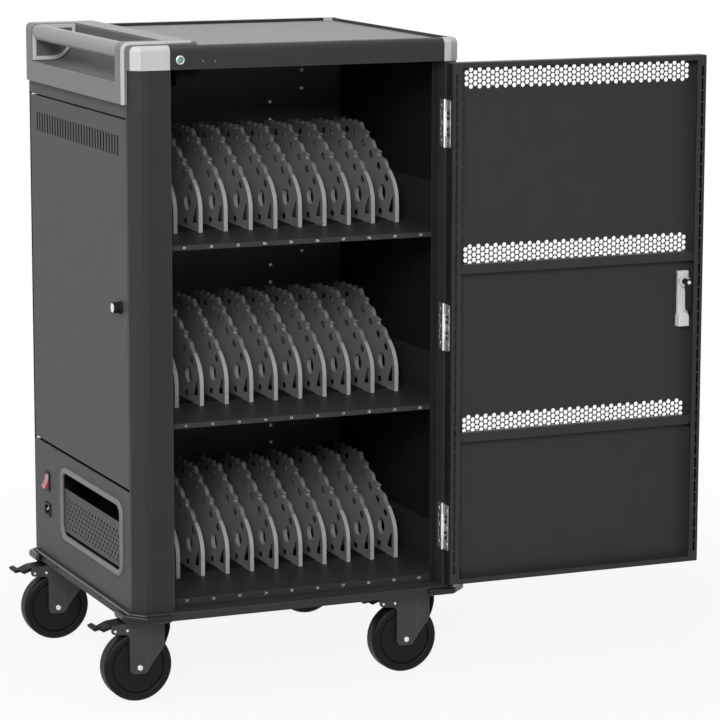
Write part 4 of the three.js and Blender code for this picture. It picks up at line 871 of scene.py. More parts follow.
# dividers: one moulded fin, open at the back, with cable clips on its slope; copied into three racks of ten
fin = {
    "thick": 7, "skin": 1.6, "front": -107, "length": 275, "first": -157.5, "pitch": 45.278, "count": 10,
    "tops": (171.011, 469.011, 767.011), "slope": (33, 86.5, 0.53, 154.5), "edge": 0.6, "strip": (-71, 132, 1.6),
    "nose": ((0, 36), (1.2, 46), (4.4, 56), (9, 63.6), (14.8, 71), (21.2, 77.6), (27.4, 82.6)),
    "clips": (49, 103, 157, 211),
    # one clip as (distance behind its start, rise off the slope): an eye, a notch, then a hook that leans forwards
    "clip": ((-6, 0), (-2, 4), (1, 5.8), (6, 5.6), (12, 3.6), (17, 1.2), (23, -0.5), (27, -1.5), (29, 0.6),
             (28, 3), (25, 6), (27, 7), (33, 5.6), (40, 2.6), (46, 0)),
}
finHoles = {
    "slots": ((38.5, 73.5, 28), (73, 91, 28), (108, 108, 28), (142, 124.6, 28), (177, 140, 12), (215, 141.5, 0),
              (253, 141, 0)), "slotLong": 15, "slotWide": 10,
    "eyelet": (8, 1.2, 9, 3, 28), "round": (57.5, 45.6, 14.6, 2.4), "tail": (60, 73, 8, 17),
    "nose": ((10, 16), (29, 14.5), (27, 21), (13, 44), (10, 42)), "wall": 8, "ribs": (92, 124, 156, 188, 220, 248),
}


def finTop(back):
    start, low, lean, high = fin["slope"]
    return min(low + lean * (back - start), high)


def finOutline():
    points = [(0, 0), (fin["length"], 0), (fin["length"], fin["slope"][3] + 2)]
    for start in reversed(fin["clips"]):
        points += [(start + d, finTop(start + d) + r) for d, r in reversed(fin["clip"])]
    return points + [(33, finTop(33))] + list(reversed(fin["nose"]))


def makeDividers():
    y0, base, middleX = fin["front"], fin["tops"][0], fin["first"]
    half = fin["thick"] / 2
    through = (middleX - 9, middleX + 9)

    def onFin(points):
        return [(y0 + back, base + rise) for back, rise in points]

    def tilted(back, rise, long, wide, lean, steps=4):
        c, s = math.cos(math.radians(lean)), math.sin(math.radians(lean))
        shape = roundRect(-long / 2, long / 2, -wide / 2, wide / 2, wide / 2 - 0.1, steps)
        return onFin([(back + u * c - v * s, rise + u * s + v * c) for u, v in shape])

    blank = addShape("x", onFin(finOutline()), middleX - half, middleX + half)
    # hollow from the back, leaving a rim, a sleeve round the big hole and upright ribs
    wall = finHoles["wall"]
    rim = [(3, 3), (272, 3), (272, finTop(272) - wall)]
    rim += [(b, finTop(b) - wall) for b in (220, 162, 110, 60, 34)] + [(24, 68), (13, 56), (5.5, 44), (3, 34)]
    hollow = addShape("x", onFin(rim), middleX - half + fin["skin"], middleX + 9)
    back, rise, radius, sleeve = finHoles["round"]
    keep = [addRod("x", radius + sleeve, *through, y0 + back, base + rise, 32)]
    keep += [addBox(through, (y0 + b - 0.9, y0 + b + 0.9), (base - 5, base + 200)) for b in finHoles["ribs"]]
    cutAway(hollow, *keep)
    t0, t1, v0, v1 = finHoles["tail"]
    cutAway(
        blank, hollow, addRod("x", radius, *through, y0 + back, base + rise, 32),
        addShape("x", onFin(finHoles["nose"]), *through), addShape("x", onFin(roundRect(t0, t1, v0, v1, 2, 3)), *through),
        *[addShape("x", tilted(b, r, finHoles["slotLong"], finHoles["slotWide"], lean), *through)
          for b, r, lean in finHoles["slots"]],
    )
    ahead, lift, long, wide, lean = finHoles["eyelet"]
    for start in fin["clips"]:
        spot = start + ahead
        cutAway(blank, addShape("x", tilted(spot, finTop(spot) + lift, long, wide, lean if spot < 160 else 0), *through))
    soften(blank, fin["edge"], 2)
    blank.data.materials.append(finishes["divider_plastic"])

    def holeShadeMask(p, n):
        b, r = p.y - y0, p.z - base
        inSlot = any(math.hypot(b - slot[0], r - slot[1]) < 8.4 for slot in finHoles["slots"])
        return abs(n.x) < 0.6 and (inSlot or (9 < b < 30 and 14 < r < 45 and r < 34 + 1.5 * b)
                                   or (t0 - 1 < b < t1 + 1 and v0 - 1 < r < v1 + 1))

    # painted shade: the walls of the fin's holes are black
    recolour(blank, finishes["black_plastic"], holeShadeMask)
    recolour(blank, finEdgeHighlight, lambda p, n: abs(n.x) < 0.6 and p.z - base > 1
             and (p.y < y0 + 0.8 or p.z - base > 35 + 1.53 * (p.y - y0)))  # painted highlight: the fin's front and top edges are lighter than its sides
    for level, top in enumerate(fin["tops"]):
        fins = [copyOf(blank, fin["pitch"] * i, 0, top - base) for i in range(fin["count"])]
        settle(joined(*fins), "fins_%d" % (level + 1), "cabinet", "divider_plastic", finishes["divider_plastic"],
               "divider_rack_%d" % (level + 1))
        last = fin["first"] + fin["pitch"] * (fin["count"] - 1)
        strip = addBox((fin["first"], last), fin["strip"][:2], (top, top + fin["strip"][2]))
        settle(soften(strip, 0.5, 2), "fin_strip_%d" % (level + 1), "cabinet", "black_plastic", finishes["black_plastic"])
    bpy.data.objects.remove(blank)


# numbers on the shelf lips, screws on the back wall
marks = {"first": -190.5, "pitch": 47.2, "high": 5.9, "lipY": -242, "lipDrop": (6.6, 6.2, 6.2), "thick": 0.12}
shelfTops = (170.711, 468.711, 766.711)


def makeMarks():
    for level, top in enumerate(shelfTops):
        words = []
        for i in range(10):
            dropSelection()
            bpy.ops.object.text_add(
                location=at(marks["first"] + marks["pitch"] * i, marks["lipY"] - marks["thick"], top - marks["lipDrop"][level]),
                rotation=(math.pi / 2, 0, 0))
            word = bpy.context.object
            word.data.body = "%02d" % ((2 - level) * 10 + i + 1)
            word.data.size = marks["high"] / 1000
            word.data.align_x = "CENTER"
            word.data.extrude = marks["thick"] / 1000
            bpy.ops.object.convert(target="MESH")
            words.append(applyPlace(bpy.context.object))
        settle(joined(*words), "numbers_%d" % (level + 1), "cabinet", "pale_plastic", inkWhite)


def screwHead(axis, along, u, v, radius, rise):
    # a pan head with a sunk cross: along is the surface it sits on, rise points off it
    low, high = min(along, along + rise), max(along, along + rise)
    head = addRod(axis, radius, low - 0.2, high + 0.2, u, v, 16)
    outer = along + rise
    def onTop(p, q):
        return all(abs({"x": e.x, "y": e.y, "z": e.z}[axis] - outer) < 0.3 for e in (p, q))
    roundEdges(head, min(radius * 0.35, abs(rise)), 3, onTop)
    deep = abs(rise) * 0.6
    for a, b in ((radius * 0.55, radius * 0.14), (radius * 0.14, radius * 0.55)):
        cutter = addShape(axis, [(u - a, v - b), (u + a, v - b), (u + a, v + b), (u - a, v + b)],
                          outer - deep, outer + deep)
        cutAway(head, cutter)
    return soften(head)


def makeWallScrews():
    first = screwHead("y", 247, 0, 1000, 3.4, -2.2)
    heads = []
    for top in shelfTops:
        for x, rise in ((215, 238), (215, 205), (153, 182), (153, 150)):
            heads.append(copyOf(first, x, 0, top + rise - 1000))
    bpy.data.objects.remove(first)
    settle(joined(*heads), "wall_screws", "cabinet", "zinc", finishes["zinc"])


# front door: folded pan, perforated skin, two rails
door = {
    "x": (264.5, 746.5), "y": (-303, -279), "z": (162.711, 1056.711), "sheet": 1.5, "fold": 2.2,
    "rim": 18, "rimTop": 9, "border": 7,
    "rails": (408.811, 698.611), "railHigh": 16, "railY": (-296, -280.4),
    "lockHole": (701.7, 722.3, 587.3, 676.9),
    "dash": (6.2, 9.9), "dashLong": 18.6, "dashGap": 2.9,
}
honeycomb = {"hole": 8.2, "rise": 9.3, "columns": 53, "middles": (1028.6, 729.4, 435.2), "startX": 300.8}


def makeDoor():
    d = door
    x0, x1 = d["x"]
    y0, y1 = d["y"]
    z0, z1 = d["z"]
    s, b = d["sheet"], d["border"]
    pan = addBox(d["x"], d["y"], d["z"])
    soften(pan, d["fold"], 4)
    rimX, rimZ = (x0 + d["rim"], x1 - d["rim"]), (z0 + d["rimTop"], z1 - d["rimTop"])
    cutAway(
        pan,
        addBox((x0 + s, x1 - s), (y0 + s, y1 - s), (z0 + s, z1 - s)),
        addBox(rimX, (y0 - 9, y0 + 2 * s), rimZ),
        addBox((x0 + b, x1 - b), (y1 - 2 * s, y1 + 9), (z0 + b, z1 - b)),
    )
    step = d["dashLong"] + d["dashGap"]
    count = int((z1 - z0 - 2 * d["rimTop"]) / step)
    first = (z0 + z1 - count * step + d["dashGap"]) / 2
    for u0, u1 in ((x0 + d["dash"][0], x0 + d["dash"][1]), (x1 - d["dash"][1], x1 - d["dash"][0])):
        dash = addBox((u0, u1), (y0 - 4, y0 + 2 * s), (first, first + d["dashLong"]))
        cutAway(pan, repeat(dash, count, dz=step))
    settle(soften(pan), "door_pan", "front_door", "dark_paint", finishes["dark_paint"], "front_door")
    # painted shade: the pan's inner faces behind the rims are black
    recolour(pan, paintedShadeBlack, lambda p, n: y0 + 0.2 < p.y < y1 - 0.2 and x0 + 1 < p.x < x1 - 1 and z0 + 1 < p.z < z1 - 1
             and (p.x < rimX[0] - 1 or p.x > rimX[1] + 1))
    # painted shade: the door's hinge-side edge is black, for the shade in the gap
    recolour(pan, finishes["black_paint"], lambda p, n: n.x < -0.9 and p.x < x0 + 0.1)
    h = honeycomb
    inside = h["rise"] / 2
    corner = inside / math.cos(math.pi / 6)
    rim = [((inside if k % 2 else corner) * math.cos(math.pi * k / 6),
            (inside if k % 2 else corner) * math.sin(math.pi * k / 6)) for k in range(12)]
    bands = []
    for middleZ in h["middles"]:
        for shift, rows in ((0, 3), (1, 4)):
            tile = holeTile("y", y1, h["startX"] + shift * 1.5 * corner, middleZ - (rows - 1) * inside,
                            h["hole"] / 2, rim)
            repeat(tile, (h["columns"] + 1 - shift) // 2, dx=3 * corner)
            bands.append(repeat(tile, rows, dz=h["rise"]))
    edge = addLoop("y", y1, x0 + b, x1 - b, z0 + b, z1 - b)
    neck = addLoop("y", y1, *d["lockHole"])
    skin = fillSheet(joined(*bands, edge, neck), 2.4, Vector((0, 1, 0)), s)
    settle(soften(skin), "door_skin", "front_door", "dark_paint", finishes["dark_paint"])
    for name, low in zip(("lower", "upper"), d["rails"]):
        rail = addBox((x0 + s, x1 - s), d["railY"], (low, low + d["railHigh"]))
        soften(rail, 1.6, 3)
        settle(rail, "door_rail_" + name, "front_door", "dark_paint", finishes["dark_paint"])


# door lock: pale body inside, escutcheon outside, cam and swing lever on one spindle
lock = {
    "body": ((706.5, 727), (-295.8, -280.8), (583.6, 680.6)), "face": -287.5, "spindle": (716, 662.6), "skin": (-280.8, -278.7),
    "escutcheon": ((695, 729), (-278.7, -270.7), (580.6, 683.6)), "hub": 9.6, "foot": (705, 725, 25),
    "cam": (-308.5, -304.5, 50, 12, 9), "lever": (-270.4, -262.4, 88, 14),
}


def makeLock():
    k = lock
    (bx0, bx1), (by0, by1), (bz0, bz1) = k["body"]
    sx, sz = k["spindle"]
    body = addShape("y", roundRect(bx0, bx1, bz0, bz1, 2, 4), k["face"], by1)
    roundEdges(body, 0.8, 3, lambda a, b: max(a.y, b.y) < k["face"] + 0.1)
    f0, f1, footHigh = k["foot"]
    archTop = arc((f0 + f1) / 2, bz0 + footHigh - (f1 - f0) / 2, (f1 - f0) / 2, 0, 180, 12)
    foot = addShape("y", [(f0, bz0), (f1, bz0)] + archTop, by0, by1)
    roundEdges(foot, 1.2, 3, lambda a, b: max(a.y, b.y) < by0 + 0.1)
    hub = spinShape("y", [(5.6, k["face"] + 0.5), (k["hub"], k["face"] + 0.5), (k["hub"], by0 + 0.8), (k["hub"] - 1, by0),
                          (7.6, by0), (7.2, by0 + 1.6), (5.6, by0 + 1.6)], sx, sz)
    groove = addShape("y", roundRect(bx0 + 4, bx0 + 7.5, bz0 + 40, bz1 - 36, 1.6, 3), k["face"] - 5, k["face"] + 1.1)
    cutAway(body, groove)
    cutAway(body, addRod("y", 5.6, by0 - 9, by1 + 9, sx, sz, 24))
    neck = addBox((702, 722), (by1 - 1, k["skin"][1] + 1), (587.6, 676.6))
    cutAway(neck, addRod("y", 5.6, by0 - 9, by1 + 9, sx, sz, 24))
    inner = joined(soften(body), soften(foot), soften(hub))
    settle(soften(neck, 0.3, 2), "lock_neck", "front_door", "pale_plastic", finishes["dark_paint"])
    settle(inner, "lock_body", "front_door", "pale_plastic", lockWhite, "lock_housing")
    (ex0, ex1), (ey0, ey1), (ez0, ez1) = k["escutcheon"]
    plate = addShape("y", roundRect(ex0, ex1, ez0, ez1, 9, 6), ey0, ey1)
    roundEdges(plate, 3, 4, lambda a, b: min(a.y, b.y) > ey1 - 0.1)
    cutAway(plate, addRod("y", 5.6, ey0 - 9, ey1 + 9, sx, sz, 24))
    barrel = addRod("y", 7, ey1 - 1.5, ey1 + 0.15, (ex0 + ex1) / 2 - 2, ez0 + 20, 24)
    sink(barrel, lambda p, n: n.y > 0.9, 1.4, 0.8)
    cutAway(barrel, addBox(((ex0 + ex1) / 2 - 2.8, (ex0 + ex1) / 2 - 1.2), (ey1 - 0.6, ey1 + 4), (ez0 + 16, ez0 + 24)))
    plate = joined(soften(plate), soften(barrel, 0.4, 2))
    settle(plate, "lock_escutcheon", "front_door", "pale_plastic", finishes["dark_paint"])
    c0, c1, camLong, camWide, camTip = k["cam"]
    l0, l1, leverLong, leverWide = k["lever"]
    rod = addRod("y", 5, c0 - 0.6, l1 - 1, sx, sz, 24)
    camShape = (arc(sx, sz, camWide / 2, 0, 180, 10)
                + arc(sx, sz - camLong + camTip / 2, camTip / 2, 180, 360, 8))
    cam = addShape("y", camShape, c0, c1)
    nut = addRod("y", 3.6, c0 - 1.8, c0 + 0.5, sx, sz, 6)
    lever = addShape("y", arc(sx, sz, leverWide / 2, -90, 90, 10)
                     + arc(sx - leverLong + 4.5, sz, 4.5, 90, 270, 8), l0, l1)
    roundEdges(lever, 2.6, 4, lambda a, b: min(a.y, b.y) > l1 - 0.1)
    turned = joined(soften(rod, 0.4, 2), soften(cam, 0.8, 3), soften(lever, 0.5, 2))
    settle(turned, "lock_cam", "front_lock", "black_plastic", finishes["black_plastic"], "lock_spindle")
    settle(soften(nut, 0.5, 2), "lock_nut", "front_lock", "zinc", finishes["zinc"])


# butt hinges: two leaves with three screws each on a split knuckle
hinge = {
    "axis": (262.5, -276), "heights": (261.711, 607.711, 953.711), "half": 40, "middle": 21.7,
    "leafX": (263.0, 264.2), "leafStart": 4.0, "leafWide": 17.5, "knuckle": 3.4, "tail": 2.7, "pin": 1.8, "screws": (-29, 0, 29),
    "windows": ((6.5, 12.5), (15, 21)),
}


def makeHinges():
    g = hinge
    ax, ay = g["axis"]
    z = g["heights"][0]
    for side, body in (("post", "cabinet"), ("door", "front_door")):
        sign = 1 if side == "post" else -1
        near, far = ay + sign * g["leafStart"], ay + sign * (g["leafStart"] + g["leafWide"])
        leaf = addShape("x", roundRect(min(near, far), max(near, far), z - g["half"], z + g["half"], 3, 3), *g["leafX"])
        stamp = sorted((near + sign * 1.5, near + sign * 12.5))
        for low, high in g["windows"]:  # windows stamped either side of the middle screw
            for zs in ((z + low, z + high), (z - high, z - low)):
                cutAway(leaf, addBox((g["leafX"][0] - 4, g["leafX"][1] + 4), stamp, zs))
        soften(leaf, 0.3, 2)
        spans = (((z + g["middle"] + 0.3, z + g["half"]), (z - g["half"], z - g["middle"] - 0.3)) if side == "post"
                 else ((z - g["middle"], z + g["middle"]),))
        parts = [leaf]
        for low, high in spans:
            radius = g["tail"] if side == "post" else g["knuckle"]
            parts.append(soften(addRod("z", radius, low, high, ax, ay, 24), 0.6, 2))
            tab = addBox(g["leafX"], (min(ay, near + sign * 0.4), max(ay, near + sign * 0.4)), (low, high))
            parts.append(soften(tab, 0.3, 2))
        if side == "post":
            parts.append(soften(addRod("z", g["pin"], z - g["half"] - 1.2, z + g["half"] + 1.2, ax, ay, 16), 0.4, 2))
        middleY = (near + far) / 2 + sign * 3.5
        screw = screwHead("x", g["leafX"][0], middleY, z, 3.6, -0.2)  # flush, so the leaves can close
        for rise in g["screws"]:
            parts.append(copyOf(screw, 0, 0, rise))
        bpy.data.objects.remove(screw)
        first = joined(*parts)
        copies = [first] + [copyOf(first, 0, 0, high - z) for high in g["heights"][1:]]
        for i, piece in enumerate(copies):
            settle(piece, "hinge_%s_%d" % (side, i + 1), body, "zinc", finishes["zinc"], "hinge_%s_leaf_%d" % (side, i + 1))


# casters: built once at the front left corner, copied to the other three
caster = {
    "x": -243, "y": -222, "axle": (-33, 59.711), "crown": (132.711, 138.711), "half": 21, "sheet": 3,
    "side": ((-82, 135, 4), (-82, 120.5, 6), (-50, 117.5, 9), (-50, 48.711, 9), (-19, 48.711, 7), (-17.5, 55, 2),
             (9, 87, 3), (29, 127, 2), (29, 138.711, 0), (-46, 138.711, 2)),
    # plan of one leg: a flat side, a raised bend, then a wing set in ahead of the axle
    "plan": ((-84, 21, 0), (-21, 21, 5), (-17.5, 22.3, 3), (-6, 18.6, 6), (10, 18.6, 0), (10, 16.6, 0),
             (-6.6, 16.6, 4), (-18, 19.3, 3), (-21, 18, 3), (-84, 18, 0)),
    "crownBack": -46, "nose": 9, "hood": (18.8, 16.4), "rivet": (-75.5, 125.7, 2.5), "boltRadius": 5.2, "boltHigh": 3.8,
}
wheel = {"radius": 59.7, "half": 16, "round": 6.5, "disc": 43.4, "groove": 1.5, "bore": 4.6}
pedal = {
    "pivot": (-54, 125.211), "half": 17.2, "hub": 6, "pin": 2.4, "pinOut": 22.3,
    "top": ((-4, 10.4, 3), (-12, 10.8, 10), (-29, 10.4, 12), (-42.5, 4.6, 2), (-50.5, 10.2, 2.5), (-58.6, 7.4, 1)),
    "under": ((-56.4, 2.8, 1), (-47.5, 4.4, 2), (-40, -0.2, 2), (-29, 3.4, 3), (-18, 5.4, 6)),
}
mount = {"plate": (42, 32, 7, 153.411, 155.911), "raceway": (139.011, 153.6), "bolts": (31, 22)}


def eased(corners, steps=5):
    # a closed outline with each (u, v, radius) corner rounded
    points = []
    for i, (u, v, radius) in enumerate(corners):
        spot = Vector((u, v))
        if not radius:
            points.append((u, v))
            continue
        back = (Vector(corners[i - 1][:2]) - spot).normalized()
        ahead = (Vector(corners[(i + 1) % len(corners)][:2]) - spot).normalized()
        half = back.angle(ahead) / 2
        centre = spot + (back + ahead).normalized() * (radius / math.sin(half))
        start, end = spot + back * (radius / math.tan(half)), spot + ahead * (radius / math.tan(half))
        for k in range(steps + 1):
            out = (start.lerp(end, k / steps) - centre).normalized() * radius
            points.append((centre.x + out.x, centre.y + out.y))
    return points


def noseShape(half, back, low, high):
    cx, cy = caster["x"], caster["y"]
    points = [(cx + back, cy - half)] + arc(cx + caster["nose"], cy, half, -90, 90, 16) + [(cx + back, cy + half)]
    return addShape("z", points, low, high)


def spread(piece, name, body, slot, finish, node):
    # the front left one and its three copies
    for place, signX, signY in places:
        dx = 2 * abs(caster["x"]) if signX > 0 else 0
        dy = 2 * abs(caster["y"]) if signY > 0 else 0
        nodes = (node % place,) if node else ()
        settle(copyOf(piece, dx, dy, 0), name % place, body % place if "%" in body else body, slot, finish, *nodes)
    bpy.data.objects.remove(piece)


def makeCasters():
    c = caster
    cx, cy = c["x"], c["y"]
    ax, az = cx + c["axle"][0], c["axle"][1]
    plan = [(cx + u, v, r) for u, v, r in c["plan"]]
    legs = [addShape("z", eased([(u, cy + side * v, r) for u, v, r in plan]), 40, c["crown"][1]) for side in (-1, 1)]
    hood = noseShape(c["hood"][0], 8, 40, c["crown"][1])
    legs.append(cutAway(hood, noseShape(c["hood"][1], -9, 30, c["crown"][1] + 9)))
    for leg in legs:
        shared(leg, addShape("y", eased([(cx + u, v, r) for u, v, r in c["side"]]), cy - 60, cy + 60))
    fork = noseShape(c["hood"][0] - 0.3, c["crownBack"], *c["crown"])
    weld(fork, *legs)
    soften(fork, 0.7, 2)
    fork.data.materials.append(finishes["fork_paint"])
    # painted shade: the hood ahead of the wheel is black
    recolour(fork, paintedShadeBlack, lambda p, n: p.x > cx + c["nose"] + 1.5 and p.z < c["crown"][0])
    spread(fork, "fork_%s", "caster_%s", "fork_paint", finishes["fork_paint"], "caster_fork_%s")
    heads = [addRod("y", 4, cy - c["half"], cy + c["half"], ax, az, 20)]
    for side in (-1, 1):
        face = cy + side * c["half"]
        low, high = sorted((face, face + side * c["boltHigh"]))
        bolt = addRod("y", c["boltRadius"], low, high, ax, az, 6)
        heads.append(soften(bolt, 0.9, 2))
        rivet = addRod("y", c["rivet"][2], *sorted((face - side * 3.4, face + side * 1.3)), cx + c["rivet"][0], c["rivet"][1], 16)
        heads.append(soften(rivet, 0.7, 2))
    spread(joined(*heads), "axle_bolt_%s", "caster_%s", "zinc", finishes["zinc"], None)
    w = wheel
    r, h, e = w["radius"], w["half"], w["round"]
    halfSide = ([(w["bore"], -h + 2.8), (11, -h + 2.8), (12.2, -h + 1.6), (w["disc"] - 1, -h + 1.6), (w["disc"], -h + 2.2),
                 (w["disc"] + 0.2, -h + 4), (w["disc"] + w["groove"], -h + 4), (w["disc"] + w["groove"] + 0.4, -h + 1.6),
                 (w["disc"] + w["groove"] + 1.6, -h + 0.5), (w["disc"] + w["groove"] + 3.4, -h)]
                + arc(r - e, -h + e, e, -90, 0, 6))
    tyre = spinShape("y", [(u, cy + v) for u, v in halfSide + [(u, -v) for u, v in reversed(halfSide)]], ax, az, 72)
    tyre.data.materials.append(finishes["wheel_rubber"])
    recolour(soften(tyre), discBlack, lambda p, n: math.hypot(p.x - ax, p.z - az) < w["disc"] + 0.4)
    spread(tyre, "wheel_%s", "wheel_%s", "wheel_rubber", finishes["wheel_rubber"], "caster_wheel_%s")
    p = pedal
    px, pz = cx + p["pivot"][0], p["pivot"][1]
    wave = [(px + u, pz + v, r) for u, v, r in p["top"] + p["under"]]
    hub = p["hub"]
    root = [(px - hub, pz - hub / 2, 1), (px, pz - 0.75 * hub, 2), (px + hub, pz - hub / 2, 2), (px + hub, pz + hub, 2)]
    lever = addShape("y", eased(wave + root), cy - p["half"], cy + p["half"])
    soften(lever, 0.9, 2)
    pin = soften(addRod("y", p["pin"], cy - p["pinOut"], cy + p["pinOut"], px, pz, 20), 0.5, 2)
    spread(lever, "brake_lever_%s", "pedal_%s", "fork_paint", finishes["black_paint"], "brake_pedal_%s")
    spread(pin, "brake_pin_%s", "pedal_%s", "zinc", finishes["zinc"], None)
    m = mount
    hx, hy, corner, low, high = m["plate"]
    plate = soften(addShape("z", roundRect(cx - hx, cx + hx, cy - hy, cy + hy, corner, 4), low, high), 0.5, 2)
    r0, r1 = m["raceway"]
    race = spinShape("z", [(6, r0), (19, r0), (21, r0 + 1), (22.6, r0 + 3.5), (23, r0 + 6), (22.4, r0 + 8.4), (20, r0 + 10),
                           (20, r1), (6, r1)], cx, cy, 40)
    bolts = []
    for u in (-1, 1):
        for v in (-1, 1):
            bolt = addRod("z", 6, low - 4.5, low, cx + u * m["bolts"][0], cy + v * m["bolts"][1], 6)
            bolts.append(soften(bolt, 0.8, 2))
    spread(joined(plate, soften(race), *bolts), "mount_%s", "cabinet", "zinc", finishes["zinc"], "caster_plate_%s")


# service door: folded pan with a row of vents, two hinge pins, a knob lock
serviceDoor = {
    "x": (-292.5, -276.5), "y": (-247, 267), "z": (364.4, 977.211), "sheet": 1.5, "fold": 1.3,
    "pin": (-284, 258, 2.5, 6), "washer": 8.2, "vents": (-207, 14.5, 31, 5.6, 915.211, 949.211), "shank": (-214, 665.711, 6.2),
}
serviceLock = {"knob": 9.4, "flange": 11, "x": (-307.8, -292.8), "shank": 6, "arm": (-274.4, -271.9, 6, 26)}


def makeServiceDoor():
    p = serviceDoor
    x0, x1 = p["x"]
    pan = addBox(p["x"], p["y"], p["z"])
    roundEdges(pan, p["fold"], 4, lambda a, b: max(a.x, b.x) < x0 + 0.1)
    sink(pan, lambda c, n: n.x > 0.9, p["sheet"], x1 - x0 - p["sheet"])
    first, step, count, wide, low, high = p["vents"]
    vent = addShape("x", roundRect(first - wide / 2, first + wide / 2, low, high, wide / 2 - 0.1, 4), x0 - 5, x0 + 5)
    cutAway(pan, repeat(vent, count, dy=step))
    ly, lz, hole = p["shank"]
    cutAway(pan, addRod("x", hole, x0 - 5, x0 + 5, ly, lz, 24))
    settle(soften(pan), "service_pan", "service_door", "side_paint", finishes["side_paint"], "service_door")
    # painted shade: the pan's inner floor and the walls of the vents are black
    recolour(pan, paintedShadeBlack, lambda q, n: n.z < -0.9 and q.z < p["z"][0] + 1 and q.x > p["x"][0] + 1.5)
    recolour(pan, paintedShadeBlack, lambda q, n: abs(n.x) < 0.5 and q.x < p["x"][0] + p["sheet"] + 0.2 and low - 1 < q.z < high + 1
             and first - wide < q.y < first + step * (count - 1) + wide)
    px, py, radius, out = p["pin"]
    pins = [addRod("z", radius, p["z"][0] - out, p["z"][0] + 1.4, px, py, 20),
            addRod("z", radius, p["z"][1] - 1.4, p["z"][1] + out, px, py, 20),
            addRod("z", p["washer"], p["z"][0] - 3.7, p["z"][0] + 0.6, px, py, 32),
            addRod("z", p["washer"], p["z"][1] - 0.6, p["z"][1] + 2.3, px, py, 32)]
    settle(joined(*[soften(pin, 0.5, 2) for pin in pins]), "service_pins", "service_door", "zinc", finishes["zinc"])
    k = serviceLock
    x0, x1 = k["x"]
    knob = addRod("x", k["knob"], x0 + 0.5, x1, ly, lz, 40)
    roundEdges(knob, 0.8, 3, lambda a, b: max(a.x, b.x) < x0 + 0.6)
    collar = addRod("x", k["flange"], x1 - 3.6, x1, ly, lz, 40)
    roundEdges(collar, 1, 3, lambda a, b: max(a.x, b.x) < x1 - 3.5)
    shank = addRod("x", k["shank"], x1, k["arm"][1], ly, lz, 32)
    a0, a1, armHalf, armLong = k["arm"]
    armShape = arc(ly, lz, armHalf, 0, 180, 10) + arc(ly, lz - armLong + armHalf, armHalf, 180, 360, 10)
    arm = soften(addShape("x", armShape, a0, a1), 0.5, 2)
    turned = joined(soften(knob), soften(collar), soften(shank), arm)
    settle(turned, "service_knob", "service_lock", "black_plastic", finishes["black_plastic"], "service_lock")
    face = addRod("x", k["knob"] - 1.6, x0, x0 + 1, ly, lz, 32)
    cutAway(face, addBox((x0 - 2, x0 + 0.6), (ly - 0.8, ly + 0.8), (lz - 4.4, lz + 4.4)))
    settle(soften(face, 0.3, 2), "service_key_face", "service_lock", "zinc", finishes["zinc"])


# mains inlet and switch in the lower panel, power strips and control unit behind the service door
inletPins = {"x": (-292.6, -279), "y": 198.2, "z": 242.211, "spots": ((-7, -1.5), (0, 1.8), (7, -1.5)), "half": (1.1, 2.4)}
rocker = {
    "y": 198.2, "z": 293.211, "half": 9.6,
    "side": ((-294.2, 12.8, 1), (-296, 1, 9), (-301.6, -9.6, 1.2), (-299.6, -12.8, 1), (-288, -11.8, 0), (-288, 11.8, 0)),
}
strip = {
    "x": (-263.3, -225.3), "y": (-105.7, 234.7), "middles": (465.544, 670.211, 874.878), "half": 22.5,
    "sockets": 6, "pitch": 53, "well": 15, "deep": 9, "hole": 2.4, "spread": 9.5,
}
controlUnit = {"x": (-269.3, -225.3), "y": (-234.7, -134.7), "z": (843.211, 963.211), "corner": 5}


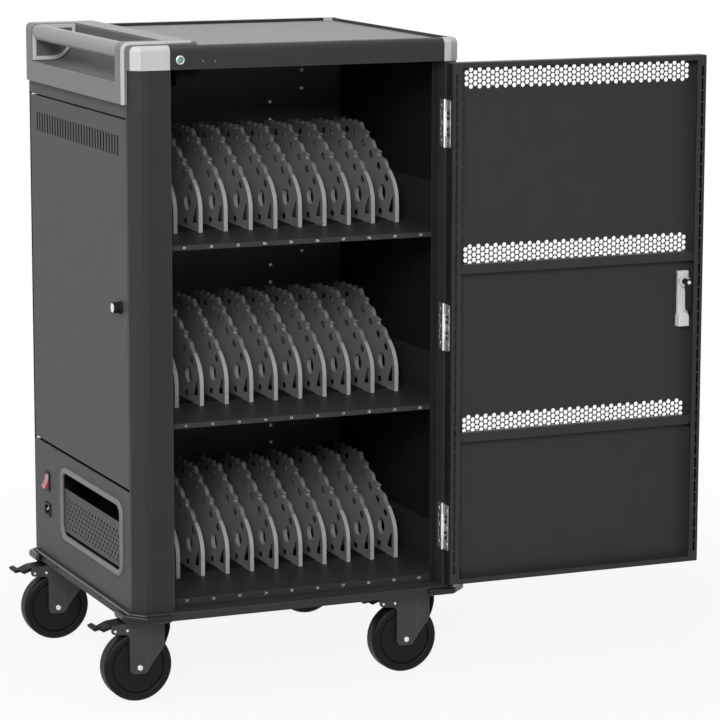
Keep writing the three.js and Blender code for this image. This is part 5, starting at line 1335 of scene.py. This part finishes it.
def makePower():
    settle(soften(nodeCopy("power_entry"), 0.5, 2), "mains_inlet", "cabinet", "black_plastic",
           finishes["black_plastic"], "power_entry")
    r = rocker
    cap = addShape("y", eased([(u, r["z"] + v, e) for u, v, e in r["side"]]), r["y"] - r["half"], r["y"] + r["half"])
    settle(soften(cap, 0.7, 3), "mains_rocker", "rocker_switch", "red_plastic", finishes["red_plastic"], "rocker_switch")
    p = inletPins
    pins = []
    for dy, dz in p["spots"]:
        pin = addBox(p["x"], (p["y"] + dy - p["half"][0], p["y"] + dy + p["half"][0]),
                     (p["z"] + dz - p["half"][1], p["z"] + dz + p["half"][1]))
        pins.append(soften(pin, 0.4, 2))
    settle(joined(*pins), "inlet_pins", "cabinet", "zinc", finishes["zinc"])
    s = strip
    x0, x1 = s["x"]
    z = s["middles"][0]
    bar = addBox(s["x"], s["y"], (z - s["half"], z + s["half"]))
    roundEdges(bar, 4, 4, lambda a, b: max(a.x, b.x) < x0 + 0.1 or abs(a.x - b.x) > 9)
    firstY = (s["y"][0] + s["y"][1] - (s["sockets"] - 1) * s["pitch"]) / 2
    well = addRod("x", s["well"], x0 - 4, x0 + s["deep"], firstY, z, 28)
    cutAway(bar, repeat(well, s["sockets"], dy=s["pitch"]))
    for side in (-1, 1):
        hole = addRod("x", s["hole"], x0 + s["deep"] - 2, x0 + s["deep"] + 12, firstY + side * s["spread"], z, 12)
        cutAway(bar, repeat(hole, s["sockets"], dy=s["pitch"]))
    soften(bar, 0.6, 2)
    for i, height in enumerate(s["middles"]):
        settle(copyOf(bar, 0, 0, height - z), "socket_strip_%d" % (i + 1), "cabinet", "black_plastic",
               finishes["black_plastic"], "power_strip_%d" % (i + 1))
    bpy.data.objects.remove(bar)
    u = controlUnit
    x0, x1 = u["x"]
    case = addBox(u["x"], u["y"], u["z"])
    roundEdges(case, u["corner"], 4, lambda a, b: max(a.x, b.x) < x0 + 0.1 or abs(a.x - b.x) > 9)
    panel = (u["y"][0] + 14, u["y"][1] - 14, u["z"][1] - 48, u["z"][1] - 14)
    cutAway(case, addShape("x", roundRect(*panel, 4, 4), x0 - 4, x0 + 1.2))
    slot = addBox((x0 - 4, x0 + 3), (u["y"][0] + 16, u["y"][1] - 16), (u["z"][0] + 14, u["z"][0] + 16.5))
    cutAway(case, repeat(slot, 6, dz=7))
    settle(soften(case, 0.5, 2), "control_case", "cabinet", "grey_plastic", finishes["grey_plastic"], "control_unit")
    screen = addShape("x", roundRect(panel[0] + 3, panel[1] - 26, panel[2] + 3, panel[3] - 3, 2, 3), x0 + 0.4, x0 + 1.6)
    settle(soften(screen, 0.3, 2), "control_screen", "cabinet", "black_plastic", finishes["black_plastic"])
    keys = []
    for i in range(3):
        key = addRod("x", 3.2, x0 - 0.4, x0 + 1.4, panel[1] - 13, panel[2] + 7 + 10 * i, 20)
        keys.append(soften(key, 0.5, 2))
    settle(joined(*keys), "control_keys", "cabinet", "pale_plastic", finishes["pale_plastic"])


makeTray()
makeSheets()
makeLowerPanel()
makePocket()
print("cabinet sheets done")
makeTop()
makeButton()
makeHandle()
print("top and handle done")
makeDividers()
makeMarks()
makeWallScrews()
print("shelves done")
makeDoor()
makeLock()
makeHinges()
print("front door done")
makeCasters()
print("casters done")
makeServiceDoor()
makePower()
print("service side done")
